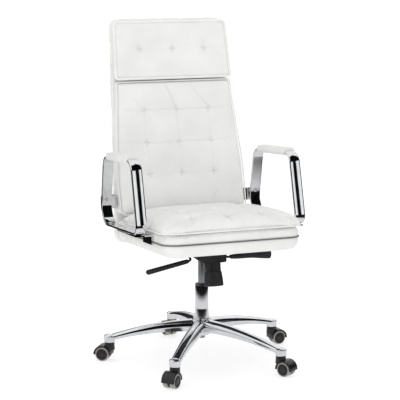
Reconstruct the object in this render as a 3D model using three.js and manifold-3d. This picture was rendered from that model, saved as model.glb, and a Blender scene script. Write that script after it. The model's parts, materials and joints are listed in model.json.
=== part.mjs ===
// High-backed swivel office chair: five-star base on twin-wheel casters, gas column,
// tilt mechanism, upholstered seat and back, and two flat-bar arm loops.
// Millimetres, +Z up, the chair faces -Y, and +X is to the right of someone who faces it.
import * as THREE from 'three';
import { mergeVertices } from 'three/addons/utils/BufferGeometryUtils.js';
import Module from 'manifold-3d';

const wasm = await Module();
wasm.setup();
const degrees = Math.PI / 180;

// ---------------------------------------------------------------- driving dimensions

// Gaps
const touch = 0.3; // between pieces that rest against each other
const running = 0.4; // beside a piece that turns or slides
const reach = 2; // how far a cutting tool runs past the face that it cuts

// Casters
const wheelRadius = 25;
const wheelWidth = 19;
const webThickness = 8; // middle web of the hood, between the two wheels
const wheelClearance = 1.4; // wheel to hood, all round
const hoodWall = 4;
const casterTrail = 22; // stem axis to axle
const neckRadius = 17;
const axleRadius = 3.5;
const hubRadius = 9; // of the web, round the axle
const stemRadius = 5.5;
const stemGrip = 17; // length of stem held in the leg's end
const stemInHood = 16;

// Base
const legReach = 320; // column axis to caster stem
const legUnderside = 67; // height of the leg's end above the floor
const legEndRadius = 19;
const legEndHeight = 20;
const legEndDome = 7;
const legRootTop = 146;
const legRootDepth = 40;
const legTipDepth = 17;
const legArch = 22; // how far the leg bows above the straight line between its ends
const legRootWidth = 46;
const legTipWidth = 31;
const legWall = 3;
const legRounding = 9;
const hubWall = 8.5; // round the column's foot
const hubHeight = 52;
const hubEdge = 5;

// Gas column
const columnRadius = 23;
const columnWall = 2;
const columnTop = 269;
const columnBottom = 92;
const columnFloor = 4;
const columnFlare = 2.5; // how much the tube widens at its foot
const flareLength = 40;
const bushLength = 38;
const bushLip = 2.5;
const pistonTubeRadius = 12.5;
const pistonTubeBore = 10;
const pistonTubeBottom = 186;
const rodRadius = 5;
const rodHeadLength = 10;
const rodEngagement = 86; // from the tube's lower end up to the top of the rod
const rodShoulderRadius = 9;
const rodShoulderHeight = 4;
const sealHeight = 10;
const bearingHeight = 7.5;
const clipRadius = 11.5;
const clipHeight = 12;
const releasePinRadius = 3;
const releasePinStand = 4; // how far the pin stands out of the tube
const releaseChamber = 24; // length of solid tube head that the pin runs through

// Tilt mechanism
const housingFloor = 374;
const housingDepth = 29;
const socketDrop = 12; // how far the column's socket hangs below the floor
const socketDepth = 30; // length of the pressure tube that it takes
const socketRadius = 22;
const housingWidth = 88;
const housingFront = -142; // measured from the column's axis, as are the places below
const housingRear = 56;
const housingWall = 3;
const pivotY = 36;
const pivotRise = 16; // above the housing's floor
const pivotRadius = 6;
const knobY = -105; // where the tension bolt crosses the housing's floor
const knobLean = 11 * degrees;
const cupRadius = 26.5;
const cupLength = 34;
const cupWall = 2;
const knobTopRadius = 28.5;
const knobBottomRadius = 32.5;
const knobLength = 50;
const knobOverlap = 2; // how much of the knob's sleeve is over the cup at rest
const boltRadius = 5;
const boltHeadRadius = 9;
const boltHeadHeight = 6;
const springWire = 5;
const springRadius = 17; // of the coil's centre line
const springTurns = 3;
const springPlateThickness = 4;
const tiltSweep = 10 * degrees;

// Levers
const leverRodRadius = 4;
const leverPivotX = 32;
const leverRise = 15; // above the housing's floor
const leverPaddleLength = 156;
const leverPaddleThick = 15;
const leverPaddleWide = 34;
const leverSocket = 14; // depth of the hole that takes the rod
const paddleEdge = 3;
const heightLeverY = 0;
const heightLeverDrop = 11 * degrees;
const heightLeverCrank = 44; // how far forward its rod is bent, outside the housing
const heightLeverOut = 10; // how far out of the housing's side it bends
const lockLeverY = -48;

// Seat, in the seat's own frame: pitched up to the front, its zero on the seat plate's underside
const seatPitch = 5 * degrees;
const seatPlateRise = 34; // the plate's underside over the housing's floor, on the column's axis
const seatPlateWidth = 168;
const seatPlateFront = -136;
const seatPlateRear = 92;
const seatPlateThickness = 4;
const plateCheekDepth = 30;
const boardThickness = 12;
const boardInset = 26; // from the pad's outline
const seatFront = -332;
const padRear = 226;
const padHalfWidth = 238;
const padBottom = 8;
const padTop = 80;
const padCorner = 58;
const cushionOverhang = 8; // past the base pad's sides
const cushionFrontOverhang = 2;
const cushionRear = 150;
const cushionThickness = 54;
const cushionCorner = 70;
const headClearance = 14; // round the bolt's head, in the seat board

// Back, in the seat's frame
const shellBottom = -8;
const shellTop = 770;
const shellRearY = 276; // at its lower end
const shellLean = 4.3 * degrees;
const shellThickness = 40;
const shellInset = 2; // from the base pad's sides, at its lower end
const shellTaper = 28; // how much narrower each side is at the top
const shellCorner = 34;
const backFaceY = 152; // front face of the back cushion, at its lower end
const headrestTopDepth = 30.6; // the headrest's thickness at its top
const backCushionBottom = 96;
const backTaper = 16; // how much narrower each side of the back cushion is at its top
const headrestHeight = 206;
const headrestOver = 6; // its top above the shell's
const headrestProud = 10; // its face, ahead of the back cushion's
const headrestStep = 1; // how much narrower each side starts than the back cushion ends
const headrestTaper = 8;

// Arms, in the seat's frame
const armGap = 22; // between the base pad's side and the bar
const armBarWidth = 38;
const armBarThickness = 9;
const armBottomZ = 70;
const armHeight = 246;
const armBottomFront = -217;
const armBottomRear = 219;
const armTopFront = -171;
const armTopRear = 152;
const armTopRadius = 46;
const armFrontRadius = 34;
const armRearRadius = 70;
const armPadLength = 236;
const armPadThickness = 9;
const armPadEnd = 6; // how far the pad's ends slope in
const bracketLength = 95;
const bracketY = -148;
const bracketDrop = 32;
const bracketThickness = 4;
const backBracketZ = 146;
const backBracketHeight = 44;

// Sizes that follow from these
const hubOuterRadius = columnRadius + columnFlare + hubWall;
const housingTop = housingFloor + housingDepth;
const socketBottom = housingFloor - socketDrop;
const pivotZ = housingFloor + pivotRise;
const leverHeight = housingFloor + leverRise;
const seatPlateZ = housingFloor + seatPlateRise;
const cushionHalfWidth = padHalfWidth + cushionOverhang;
const shellHalfBottom = padHalfWidth - shellInset;
const shellHalfTop = shellHalfBottom - shellTaper;
const backHalfBottom = padHalfWidth;
const backHalfTop = backHalfBottom - backTaper;
const headrestTop = shellTop + headrestOver;
const armSpacing = 2 * (padHalfWidth + armGap) + armBarWidth; // between the middles of the two bars

// How the chair stands when it's parked: the heading of each caster, counter-clockwise from +X
const casterHeadings = {
  front_right: { leg: -54, trail: -57 },
  right: { leg: 18, trail: 5.5 },
  rear: { leg: 90, trail: 100 },
  left: { leg: 162, trail: 145.5 },
  front_left: { leg: 234, trail: 223 },
};

// ---------------------------------------------------------------- materials

const finish = (color, roughness, metalness) =>
  new THREE.MeshStandardMaterial({ color, roughness, metalness });
const chrome = finish(0xd8dade, 0.08, 1);
const steel = finish(0x9a9da1, 0.35, 1);
const blackSteel = finish(0x1d1d20, 0.45, 0.6);
const blackPlastic = finish(0x1b1b1e, 0.4, 0);
const wheelPlastic = finish(0x2c2c2f, 0.5, 0);
const whiteLeather = finish(0xe9eae8, 0.5, 0);
const plywood = finish(0xc9a878, 0.7, 0);

// ---------------------------------------------------------------- solids

// A geometry's closed surface as a solid, with its faces turned outwards.
function solid(geometry) {
  const bare = geometry.clone();
  bare.deleteAttribute('normal');
  bare.deleteAttribute('uv');
  const merged = mergeVertices(bare, 1e-3);
  const spots = merged.attributes.position.array;
  const corners = merged.index.array;
  const faces = [];
  let volume = 0;
  const a = new THREE.Vector3();
  const b = new THREE.Vector3();
  const c = new THREE.Vector3();
  for (let i = 0; i < corners.length; i += 3) {
    const [p, q, r] = [corners[i], corners[i + 1], corners[i + 2]];
    if (p === q || q === r || r === p) continue;
    a.fromArray(spots, 3 * p);
    b.fromArray(spots, 3 * q);
    c.fromArray(spots, 3 * r);
    volume += a.dot(b.cross(c));
    faces.push(p, q, r);
  }
  if (volume < 0) faces.reverse();
  return new wasm.Manifold(new wasm.Mesh({
    numProp: 3,
    vertProperties: new Float32Array(spots),
    triVerts: new Uint32Array(faces),
  }));
}

const group = new THREE.Group();
const seatFrame = new THREE.Group();

// Adds a finished solid to the chair as a named mesh.
function addPiece(name, shape, material, parent = group) {
  const { vertProperties, triVerts } = shape.getMesh();
  const geometry = new THREE.BufferGeometry();
  geometry.setAttribute('position', new THREE.BufferAttribute(vertProperties, 3));
  geometry.setIndex(new THREE.BufferAttribute(triVerts, 1));
  geometry.computeVertexNormals();
  const mesh = new THREE.Mesh(geometry, material);
  mesh.name = name;
  parent.add(mesh);
  return mesh;
}

// A profile of [radius, height] points turned about the Z axis.
function turned(points, segments = 24) {
  const profile = points.map(([radius, height]) => new THREE.Vector2(radius, height));
  return solid(new THREE.LatheGeometry(profile, segments).rotateX(Math.PI / 2));
}

// A ring between two radii; an inner radius of nought gives a plain disc.
function ring(inner, outer, low, high, segments = 24) {
  const profile = [[inner, low], [outer, low], [outer, high], [inner, high]];
  return turned(inner > 0 ? [...profile, profile[0]] : profile, segments);
}

function block(x0, x1, y0, y1, z0, z1) {
  const box = new THREE.BoxGeometry(x1 - x0, y1 - y0, z1 - z0);
  return solid(box.translate((x0 + x1) / 2, (y0 + y1) / 2, (z0 + z1) / 2));
}

// A closed outline through the corners, each {x, y, r} rounded to its own radius where its sides allow.
function roundedOutline(corners) {
  const shape = new THREE.Shape();
  const count = corners.length;
  corners.forEach((corner, i) => {
    const here = new THREE.Vector2(corner.x, corner.y);
    const before = corners[(i + count - 1) % count];
    const after = corners[(i + 1) % count];
    const back = new THREE.Vector2(before.x, before.y).sub(here);
    const ahead = new THREE.Vector2(after.x, after.y).sub(here);
    const room = 0.49 * Math.min(back.length(), ahead.length());
    const setback = Math.min(room, corner.r / Math.tan(back.angleTo(ahead) / 2));
    back.normalize();
    ahead.normalize();
    const start = here.clone().addScaledVector(back, setback);
    const end = here.clone().addScaledVector(ahead, setback);
    if (i === 0) shape.moveTo(start.x, start.y);
    else shape.lineTo(start.x, start.y);
    shape.quadraticCurveTo(here.x, here.y, end.x, end.y);
  });
  shape.closePath();
  return shape;
}

// An outline drawn in (x, y), pushed along Z by depth, its rounded edges inside both sizes.
function slab(shape, depth, bevel = 0, curveSegments = 6, bevelSegments = 2) {
  const geometry = new THREE.ExtrudeGeometry(shape, {
    depth: depth - 2 * bevel,
    curveSegments,
    bevelEnabled: bevel > 0,
    bevelThickness: bevel,
    bevelSize: bevel,
    bevelOffset: -bevel,
    bevelSegments,
  });
  return geometry.translate(0, 0, bevel);
}

// A side outline in (y, z), pushed across the chair from x0 to x1.
function across(shape, x0, x1, bevel = 0, curveSegments = 6) {
  const geometry = slab(shape, x1 - x0, bevel, curveSegments);
  geometry.rotateX(Math.PI / 2).rotateZ(Math.PI / 2);
  return solid(geometry.translate(x0, 0, 0));
}

// A front outline in (x, z), pushed along Y from y0 to y1.
function alongY(shape, y0, y1, bevel = 0, curveSegments = 6) {
  const geometry = slab(shape, y1 - y0, bevel, curveSegments);
  return solid(geometry.rotateX(Math.PI / 2).translate(0, y1, 0));
}

// A round bar along a smooth path.
function bar(points, radius, steps, sides = 4) {
  const path = new THREE.CatmullRomCurve3(points.map((p) => new THREE.Vector3(...p)));
  const section = new THREE.Shape();
  section.absarc(0, 0, radius, 0, 2 * Math.PI);
  return solid(new THREE.ExtrudeGeometry(section, {
    steps, extrudePath: path, curveSegments: sides, bevelEnabled: false,
  }));
}

const turnedAboutX = (shape, angle) => shape.rotate([angle / degrees, 0, 0]);
const turnedAboutZ = (shape, angle) => shape.rotate([0, 0, angle / degrees]);
// A piece made about Z, laid along Y or along X.
const laidAlongY = (shape) => shape.rotate([-90, 0, 0]);
const laidAlongX = (shape) => shape.rotate([0, 90, 0]);

// ---------------------------------------------------------------- base

// One leg, along +X: an arched, tapered channel, open underneath, with a domed end.
function legOuter(grow) {
  const rise = legUnderside + legEndHeight;
  const startX = hubOuterRadius / 2;
  const middleX = (startX + legReach) / 2;
  const side = new THREE.Shape();
  const topEnd = rise + legEndDome / 2 - grow;
  const topStart = legRootTop - grow;
  side.moveTo(startX, topStart);
  side.quadraticCurveTo(middleX, (topStart + topEnd) / 2 + legArch, legReach, topEnd);
  if (grow > 0) {
    side.lineTo(legReach, 0);
    side.lineTo(startX, 0);
  } else {
    side.lineTo(legReach, topEnd - legTipDepth);
    side.quadraticCurveTo(middleX, (legRootTop - legRootDepth + topEnd - legTipDepth) / 2 + legArch,
      startX, legRootTop - legRootDepth);
  }
  const halfRoot = legRootWidth / 2 - grow;
  const halfTip = legTipWidth / 2 - grow;
  const plan = new THREE.Shape([
    new THREE.Vector2(startX - reach, -halfRoot), new THREE.Vector2(legReach + reach, -halfTip),
    new THREE.Vector2(legReach + reach, halfTip), new THREE.Vector2(startX - reach, halfRoot),
  ]);
  const rounding = grow > 0 ? 0 : legRounding;
  const upright = slab(side, legRootWidth - 2 * grow, rounding, 6);
  upright.rotateX(Math.PI / 2).translate(0, legRootWidth / 2 - grow, 0);
  return solid(upright).intersect(solid(slab(plan, legRootTop + legArch)));
}

function legEnd() {
  const top = legUnderside + legEndHeight;
  const dome = [1, 2, 3].map((step) => {
    const angle = (step / 3) * 90 * degrees;
    return [legEndRadius * Math.cos(angle), top + legEndDome * Math.sin(angle)];
  });
  dome[2][0] = 0;
  return turned([[0, legUnderside], [legEndRadius, legUnderside], [legEndRadius, top], ...dome], 24);
}

function makeBase() {
  const hubBottom = legRootTop - hubHeight + touch;
  const hubTop = legRootTop + reach;
  let base = turned([
    [0, hubBottom], [hubOuterRadius - hubEdge, hubBottom], [hubOuterRadius, hubBottom + hubEdge],
    [hubOuterRadius, hubTop - hubEdge], [hubOuterRadius - hubEdge, hubTop], [0, hubTop],
  ]);
  let hollows = null;
  const hollowEnds = ring(hubOuterRadius + legWall, legReach - legEndRadius, 0, legRootTop + legArch);
  for (const { leg } of Object.values(casterHeadings)) {
    const outer = legOuter(0).add(legEnd().translate([legReach, 0, 0]));
    base = base.add(turnedAboutZ(outer, leg * degrees));
    const inner = turnedAboutZ(legOuter(legWall), leg * degrees);
    hollows = hollows ? hollows.add(inner) : inner;
  }
  base = base.subtract(hollows.intersect(hollowEnds));
  base = base.subtract(ring(0, columnRadius + columnFlare + touch, 0, legRootTop + 2 * reach));
  const socket = ring(0, stemRadius + touch, legUnderside - reach, legUnderside + stemGrip + touch, 16);
  for (const { leg } of Object.values(casterHeadings)) {
    base = base.subtract(turnedAboutZ(socket.translate([legReach, 0, 0]), leg * degrees));
  }
  addPiece('star_base', base, chrome);
}

// ---------------------------------------------------------------- casters

// The caster's pieces are made with the stem on the Z axis and the wheels trailing along +X.
const hoodTop = legUnderside - touch;
const hoodHalfWidth = webThickness / 2 + wheelClearance / 2 + wheelWidth;
const hoodRadius = wheelRadius + wheelClearance + hoodWall;

function hoodShape() {
  const axle = [casterTrail, 0, wheelRadius];
  const full = laidAlongY(ring(0, hoodRadius, -hoodHalfWidth, hoodHalfWidth, 28)).translate(axle);
  const skirtBottom = wheelRadius + 4;
  const skirt = block(-neckRadius + 3, casterTrail, -neckRadius, neckRadius, skirtBottom, hoodTop - 12);
  const neck = turned([
    [0, skirtBottom + 6], [neckRadius - 3, skirtBottom + 6], [neckRadius, skirtBottom + 10],
    [neckRadius, hoodTop - 2], [neckRadius - 2, hoodTop], [0, hoodTop],
  ], 24);
  let hood = full.subtract(block(-60, 90, -40, 40, -20, wheelRadius)).add(skirt).add(neck);
  const cavity = laidAlongY(ring(0, wheelRadius + wheelClearance, webThickness / 2,
    hoodHalfWidth + reach, 28)).translate(axle);
  hood = hood.subtract(cavity).subtract(cavity.mirror([0, 1, 0]));
  const web = laidAlongY(ring(0, hubRadius, -webThickness / 2, webThickness / 2, 16)).translate(axle);
  hood = hood.add(web);
  hood = hood.subtract(laidAlongY(ring(0, axleRadius + touch, -50, 50, 16)).translate(axle));
  return hood.subtract(ring(0, stemRadius + running, hoodTop - stemInHood - running, hoodTop + reach, 16));
}

function wheelShape() {
  const inner = webThickness / 2 + wheelClearance / 2;
  const outer = inner + wheelWidth - wheelClearance;
  const bore = axleRadius + running;
  return laidAlongY(turned([
    [0, outer - 4], [bore, outer - 4], [bore, inner], [wheelRadius - 3, inner],
    [wheelRadius, inner + 3], [wheelRadius, outer - 4], [wheelRadius - 4, outer], [0, outer],
  ], 28)).mirror([0, 1, 0]);
}

function makeCasters() {
  const hood = hoodShape();
  const wheel = wheelShape().translate([casterTrail, 0, wheelRadius]);
  const axleLength = webThickness / 2 + wheelWidth - 6;
  const axle = laidAlongY(ring(0, axleRadius, -axleLength, axleLength, 16))
    .translate([casterTrail, 0, wheelRadius]);
  const stem = ring(0, stemRadius, hoodTop - stemInHood, legUnderside + stemGrip, 16);
  const parked = (shape, { leg, trail }) =>
    turnedAboutZ(shape, trail * degrees).translate([
      legReach * Math.cos(leg * degrees), legReach * Math.sin(leg * degrees), 0,
    ]);
  for (const [place, heading] of Object.entries(casterHeadings)) {
    addPiece(`caster_${place}_stem`, parked(stem, heading), steel);
    addPiece(`caster_${place}_hood`, parked(hood, heading), blackPlastic);
    addPiece(`caster_${place}_axle`, parked(axle, heading), steel);
    addPiece(`caster_${place}_wheel_a`, parked(wheel, heading), wheelPlastic);
    addPiece(`caster_${place}_wheel_b`, parked(wheel.mirror([0, 1, 0]), heading), wheelPlastic);
  }
}

// ---------------------------------------------------------------- gas column

const pistonTubeTop = socketBottom + socketDepth;
const bearingBottom = columnBottom + columnFloor + touch;
const shoulderBottom = bearingBottom + bearingHeight + touch;
const rodTop = pistonTubeBottom + rodEngagement;
const chamberTop = pistonTubeTop - releaseChamber;

function makeColumn() {
  const bore = columnRadius - columnWall;
  const flareTop = legRootTop + flareLength;
  const rodHole = rodRadius + running;
  addPiece('column_outer_tube', turned([
    [rodHole, columnBottom], [columnRadius + columnFlare, columnBottom],
    [columnRadius + columnFlare, legRootTop + 6], [columnRadius, flareTop], [columnRadius, columnTop],
    [bore, columnTop], [bore, columnBottom + columnFloor], [rodHole, columnBottom + columnFloor],
    [rodHole, columnBottom],
  ], 32), chrome);
  const bushBore = pistonTubeRadius + running;
  const lipTop = columnTop + touch + bushLip;
  addPiece('column_guide_bush', turned([
    [bushBore, columnTop - bushLength], [bore - touch, columnTop - bushLength],
    [bore - touch, columnTop + touch], [columnRadius - 0.5, columnTop + touch],
    [columnRadius - 0.5, lipTop - 1], [columnRadius - 2, lipTop], [bushBore, lipTop],
    [bushBore, columnTop - bushLength],
  ]), blackPlastic);
  addPiece('column_thrust_bearing',
    ring(rodHole, rodShoulderRadius + 3, bearingBottom, bearingBottom + bearingHeight), steel);
  const clipTop = columnBottom - touch;
  const rodBottom = clipTop - clipHeight - 2;
  const headBottom = rodTop - rodHeadLength;
  addPiece('piston_rod', turned([
    [0, rodBottom], [rodRadius, rodBottom], [rodRadius, shoulderBottom],
    [rodShoulderRadius, shoulderBottom], [rodShoulderRadius, shoulderBottom + rodShoulderHeight],
    [rodRadius, shoulderBottom + rodShoulderHeight], [rodRadius, headBottom],
    [pistonTubeBore - running, headBottom], [pistonTubeBore - running, rodTop], [0, rodTop],
  ], 24), steel);
  addPiece('column_retaining_clip', ring(rodRadius + touch, clipRadius, clipTop - clipHeight, clipTop, 24),
    steel);
  const pinBore = releasePinRadius + running;
  addPiece('pressure_tube', turned([
    [pistonTubeBore, pistonTubeBottom], [pistonTubeRadius, pistonTubeBottom],
    [pistonTubeRadius, pistonTubeTop], [pinBore, pistonTubeTop], [pinBore, chamberTop],
    [pistonTubeBore, chamberTop], [pistonTubeBore, pistonTubeBottom],
  ], 32), chrome);
  addPiece('rod_seal', ring(rodRadius + running, pistonTubeBore - touch, pistonTubeBottom,
    pistonTubeBottom + sealHeight, 24), blackPlastic);
  addPiece('release_pin', ring(0, releasePinRadius, chamberTop + 4, pistonTubeTop + releasePinStand, 16),
    steel);
}

// ---------------------------------------------------------------- tilt mechanism

// Puts a shape made about Z, its zero at the housing's floor, onto the leaning bolt's axis.
const onBolt = (shape) => turnedAboutX(shape, -knobLean).translate([0, knobY, housingFloor]);

const halfHousing = housingWidth / 2;
const leverClearance = 3.2;

function makeHousing() {
  const plan = roundedOutline([
    { x: -halfHousing, y: housingRear, r: 10 }, { x: -halfHousing, y: housingFront, r: 26 },
    { x: halfHousing, y: housingFront, r: 26 }, { x: halfHousing, y: housingRear, r: 10 },
  ]);
  const inner = roundedOutline([
    { x: -halfHousing + housingWall, y: housingRear - housingWall, r: 7 },
    { x: -halfHousing + housingWall, y: housingFront + housingWall, r: 23 },
    { x: halfHousing - housingWall, y: housingFront + housingWall, r: 23 },
    { x: halfHousing - housingWall, y: housingRear - housingWall, r: 7 },
  ]);
  const tray = solid(slab(plan, housingTop - housingFloor).translate(0, 0, housingFloor));
  const hollow = solid(slab(inner, housingTop).translate(0, 0, housingFloor + housingWall));
  let housing = tray.subtract(hollow);
  housing = housing.add(turned([
    [0, socketBottom], [socketRadius - 2, socketBottom], [socketRadius, socketBottom + 3],
    [socketRadius + 4, housingFloor + 1], [socketRadius - 4, pistonTubeTop - 4], [0, pistonTubeTop - 4],
  ]));
  // The top edge falls away from the tilting seat plate behind the pivot.
  const rearCut = turnedAboutX(block(-100, 100, 0, 60, 0, 40), -(seatPitch + tiltSweep));
  housing = housing.subtract(rearCut.translate([0, pivotY - 4, pivotZ + 11]));
  const plateRise = turnedAboutX(block(-100, 100, -200, 100, 0, 60), -seatPitch);
  housing = housing.subtract(plateRise.translate([0, 0, seatPlateZ - touch]));
  housing = housing.subtract(ring(0, pistonTubeRadius + touch, socketBottom - reach, housingTop + reach));
  housing = housing.subtract(laidAlongX(ring(0, pivotRadius + touch, -100, 100, 20))
    .translate([0, pivotY, pivotZ]));
  // Slots in the side walls for the two lever rods, and the hole for the bolt.
  const slotHalf = leverRodRadius + leverClearance;
  const slotStart = halfHousing - housingWall - reach;
  housing = housing.subtract(block(-halfHousing - reach, -slotStart, heightLeverY - slotHalf,
    heightLeverY + slotHalf, housingFloor - reach, housingTop + reach));
  housing = housing.subtract(block(slotStart, halfHousing + reach, lockLeverY - slotHalf,
    lockLeverY + slotHalf, housingFloor + housingWall, housingTop + reach));
  housing = housing.subtract(onBolt(ring(0, boltRadius + 1.5, -20, 60, 20)));
  addPiece('mechanism_housing', housing, blackSteel);
  const pinHalf = halfHousing + seatPlateThickness + 10;
  addPiece('tilt_pivot_pin', laidAlongX(ring(0, pivotRadius, -pinHalf, pinHalf, 20))
    .translate([0, pivotY, pivotZ]), steel);
}

function makeTensioner() {
  // Everything below hangs on the bolt: heights are below the housing's floor.
  const cupTop = -cupRadius * Math.sin(knobLean);
  const cupBottom = cupTop - cupLength;
  const cup = onBolt(turned([
    [boltRadius + 1.5, -2 * cupTop], [cupRadius, -2 * cupTop], [cupRadius, cupBottom],
    [cupRadius - cupWall, cupBottom], [cupRadius - cupWall, cupTop - cupWall],
    [boltRadius + 1.5, cupTop - cupWall], [boltRadius + 1.5, -2 * cupTop],
  ]));
  const aboveFloor = block(-50, 50, knobY - 50, knobY + 50, housingFloor - touch, housingTop);
  addPiece('spring_cup', cup.subtract(aboveFloor), blackSteel);
  const knobTop = cupBottom + knobOverlap;
  const knobBottom = knobTop - knobLength;
  const plateTop = knobBottom + 16 + springPlateThickness;
  const springTop = cupTop - cupWall - touch - springWire / 2;
  const springBottom = plateTop + touch + springWire / 2;
  const coil = [];
  const stepsPerTurn = 12;
  for (let i = 0; i <= springTurns * stepsPerTurn; i += 1) {
    const share = i / (springTurns * stepsPerTurn);
    const angle = 2 * Math.PI * springTurns * share;
    coil.push([springRadius * Math.cos(angle), springRadius * Math.sin(angle),
      springBottom + (springTop - springBottom) * share]);
  }
  addPiece('tension_spring', onBolt(bar(coil, springWire / 2, springTurns * stepsPerTurn, 3)), steel);
  addPiece('spring_plate', onBolt(ring(boltRadius + running, springRadius + 5,
    plateTop - springPlateThickness, plateTop, 24)), steel);
  const headBottom = boltHeadBottom();
  addPiece('tension_bolt', onBolt(turned([
    [0, knobBottom + 4], [boltRadius, knobBottom + 4], [boltRadius, headBottom],
    [boltHeadRadius - 3, headBottom], [boltHeadRadius, headBottom + 2],
    [boltHeadRadius, headBottom + boltHeadHeight], [0, headBottom + boltHeadHeight],
  ], 16)), steel);
  const sleeve = cupRadius + 0.8;
  const boltHole = boltRadius + running;
  const floor = plateTop - springPlateThickness - touch;
  addPiece('tension_knob', onBolt(turned([
    [boltHole, knobBottom], [knobBottomRadius - 2, knobBottom], [knobBottomRadius, knobBottom + 3],
    [knobTopRadius, knobTop], [sleeve, knobTop], [sleeve, floor], [boltHole, floor],
    [boltHole, knobBottom],
  ], 28)), blackPlastic);
}

// Height of the bolt head's underside along the bolt, just above the seat plate.
function boltHeadBottom() {
  const plateTopHere = seatPlateZ + seatPlateThickness - knobY * Math.tan(seatPitch);
  return (plateTopHere - housingFloor) / Math.cos(knobLean) + 2;
}

// ---------------------------------------------------------------- levers

// A flat paddle along +X from the origin, thick and wide as given at its far end.
function paddle(thick, wide) {
  const half = thick / 2;
  const shape = roundedOutline([
    { x: 0, y: -half * 0.8, r: 4 }, { x: leverPaddleLength * 0.72, y: -half, r: 20 },
    { x: leverPaddleLength, y: -wide / 2, r: 7 }, { x: leverPaddleLength, y: wide / 2, r: 7 },
    { x: leverPaddleLength * 0.72, y: half, r: 20 }, { x: 0, y: half * 0.8, r: 4 },
  ]);
  const depth = leverPaddleThick - paddleEdge;
  return solid(slab(shape, depth, paddleEdge).translate(0, 0, -depth / 2));
}

// Points that carry a rod straight into a paddle's socket, which starts at the given place.
function intoSocket([x, y, z], heading, drop) {
  const along = (step) => [x + heading * step * Math.cos(drop), y, z - step * Math.sin(drop)];
  return [along(-8), along(0), along(leverSocket - 2)];
}

function makeLevers() {
  const socket = laidAlongX(ring(0, leverRodRadius + touch, -reach, leverSocket, 12));
  // Height lever, to the left: its inner end lies over the release pin.
  const bendX = -halfHousing - heightLeverOut;
  const leftStart = [bendX - 8, heightLeverY - heightLeverCrank, leverHeight - 24];
  const overPin = pistonTubeTop + releasePinStand + touch + leverRodRadius;
  addPiece('height_lever_rod', bar([
    [releasePinRadius + 2, heightLeverY, overPin], [-releasePinRadius - 6, heightLeverY, overPin],
    [-leverPivotX + 4, heightLeverY, leverHeight + 5], [bendX, heightLeverY, leverHeight - 8],
    ...intoSocket(leftStart, -1, heightLeverDrop),
  ], leverRodRadius, 18), blackSteel);
  const flat = paddle(leverPaddleThick, leverPaddleThick + 2).rotate([90, 0, 0]);
  addPiece('height_lever_paddle', flat.subtract(socket)
    .rotate([0, 180 - heightLeverDrop / degrees, 0]).translate(leftStart), blackPlastic);
  // Tilt lock lever, to the right: its paddle is turned on edge.
  const rightStart = [halfHousing + 38, lockLeverY, leverHeight - 20];
  addPiece('lock_lever_rod', bar([
    [14, lockLeverY, leverHeight], [halfHousing + 4, lockLeverY, leverHeight],
    [halfHousing + 18, lockLeverY, leverHeight - 6], ...intoSocket(rightStart, 1, 0),
  ], leverRodRadius, 18), blackSteel);
  const upright = paddle(leverPaddleThick + 2, leverPaddleWide).rotate([90, 0, 0]);
  addPiece('lock_lever_paddle', upright.subtract(socket).translate(rightStart), blackPlastic);
}

// ---------------------------------------------------------------- seat

function seatOutline(halfWidth, front, rear, frontRadius, rearRadius) {
  return roundedOutline([
    { x: -halfWidth, y: rear, r: rearRadius }, { x: -halfWidth, y: front, r: frontRadius },
    { x: halfWidth, y: front, r: frontRadius }, { x: halfWidth, y: rear, r: rearRadius },
  ]);
}

function makeSeat() {
  const halfPlate = seatPlateWidth / 2;
  const plate = solid(slab(seatOutline(halfPlate, seatPlateFront, seatPlateRear, 14, 14),
    seatPlateThickness));
  // Two cheeks hang beside the housing and turn on the pivot pin.
  const cheekIn = halfHousing + 1;
  const pivot = pivotInSeat();
  const cheekSide = roundedOutline([
    { x: pivot.y - 22, y: seatPlateThickness / 2, r: 1 }, { x: pivot.y - 13, y: -plateCheekDepth, r: 10 },
    { x: pivot.y + 13, y: -plateCheekDepth, r: 10 }, { x: pivot.y + 22, y: seatPlateThickness / 2, r: 1 },
  ]);
  const cheek = across(cheekSide, cheekIn, cheekIn + seatPlateThickness)
    .add(across(cheekSide, -cheekIn - seatPlateThickness, -cheekIn));
  const pinHole = laidAlongX(ring(0, pivotRadius + running, -100, 100, 20))
    .translate([0, pivot.y, pivot.z]);
  const boltInSeat = knobY / Math.cos(seatPitch);
  const boltSlot = block(-boltRadius - 1.5, boltRadius + 1.5, boltInSeat - 4, boltInSeat + 22, -reach, 8);
  addPiece('seat_plate', plate.add(cheek).subtract(pinHole).subtract(boltSlot), blackSteel, seatFrame);

  const boardLow = seatPlateThickness + touch;
  const board = solid(slab(seatOutline(padHalfWidth - boardInset, seatFront + boardInset,
    padRear - boardInset, padCorner, 20), boardThickness).translate(0, 0, boardLow));
  const headRoom = ring(0, headClearance, 0, boardLow + boardThickness + reach, 20)
    .translate([0, boltInSeat + 10, 0]);
  addPiece('seat_board', board.subtract(headRoom), plywood, seatFrame);

  const padBase = boardLow + boardThickness + touch;
  const pad = solid(slab(seatOutline(padHalfWidth, seatFront, padRear, padCorner, 24),
    padTop - padBottom, 12, 6, 3).translate(0, 0, padBottom));
  const seatOfBoard = solid(slab(seatOutline(padHalfWidth - boardInset + touch,
    seatFront + boardInset - touch, padRear - boardInset + touch, padCorner, 20), padBase));
  addPiece('seat_base_pad', pad.subtract(seatOfBoard), whiteLeather, seatFrame);

  const cushion = solid(slab(seatOutline(cushionHalfWidth, seatFront - cushionFrontOverhang,
    cushionRear, cushionCorner, 40), cushionThickness, 16, 6, 3).translate(0, 0, padTop + touch));
  addPiece('seat_cushion', cushion, whiteLeather, seatFrame);
}

// The pivot's place in the pitched seat frame.
function pivotInSeat() {
  const rise = pivotZ - seatPlateZ;
  return {
    y: pivotY * Math.cos(seatPitch) - rise * Math.sin(seatPitch),
    z: pivotY * Math.sin(seatPitch) + rise * Math.cos(seatPitch),
  };
}

// ---------------------------------------------------------------- back

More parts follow.
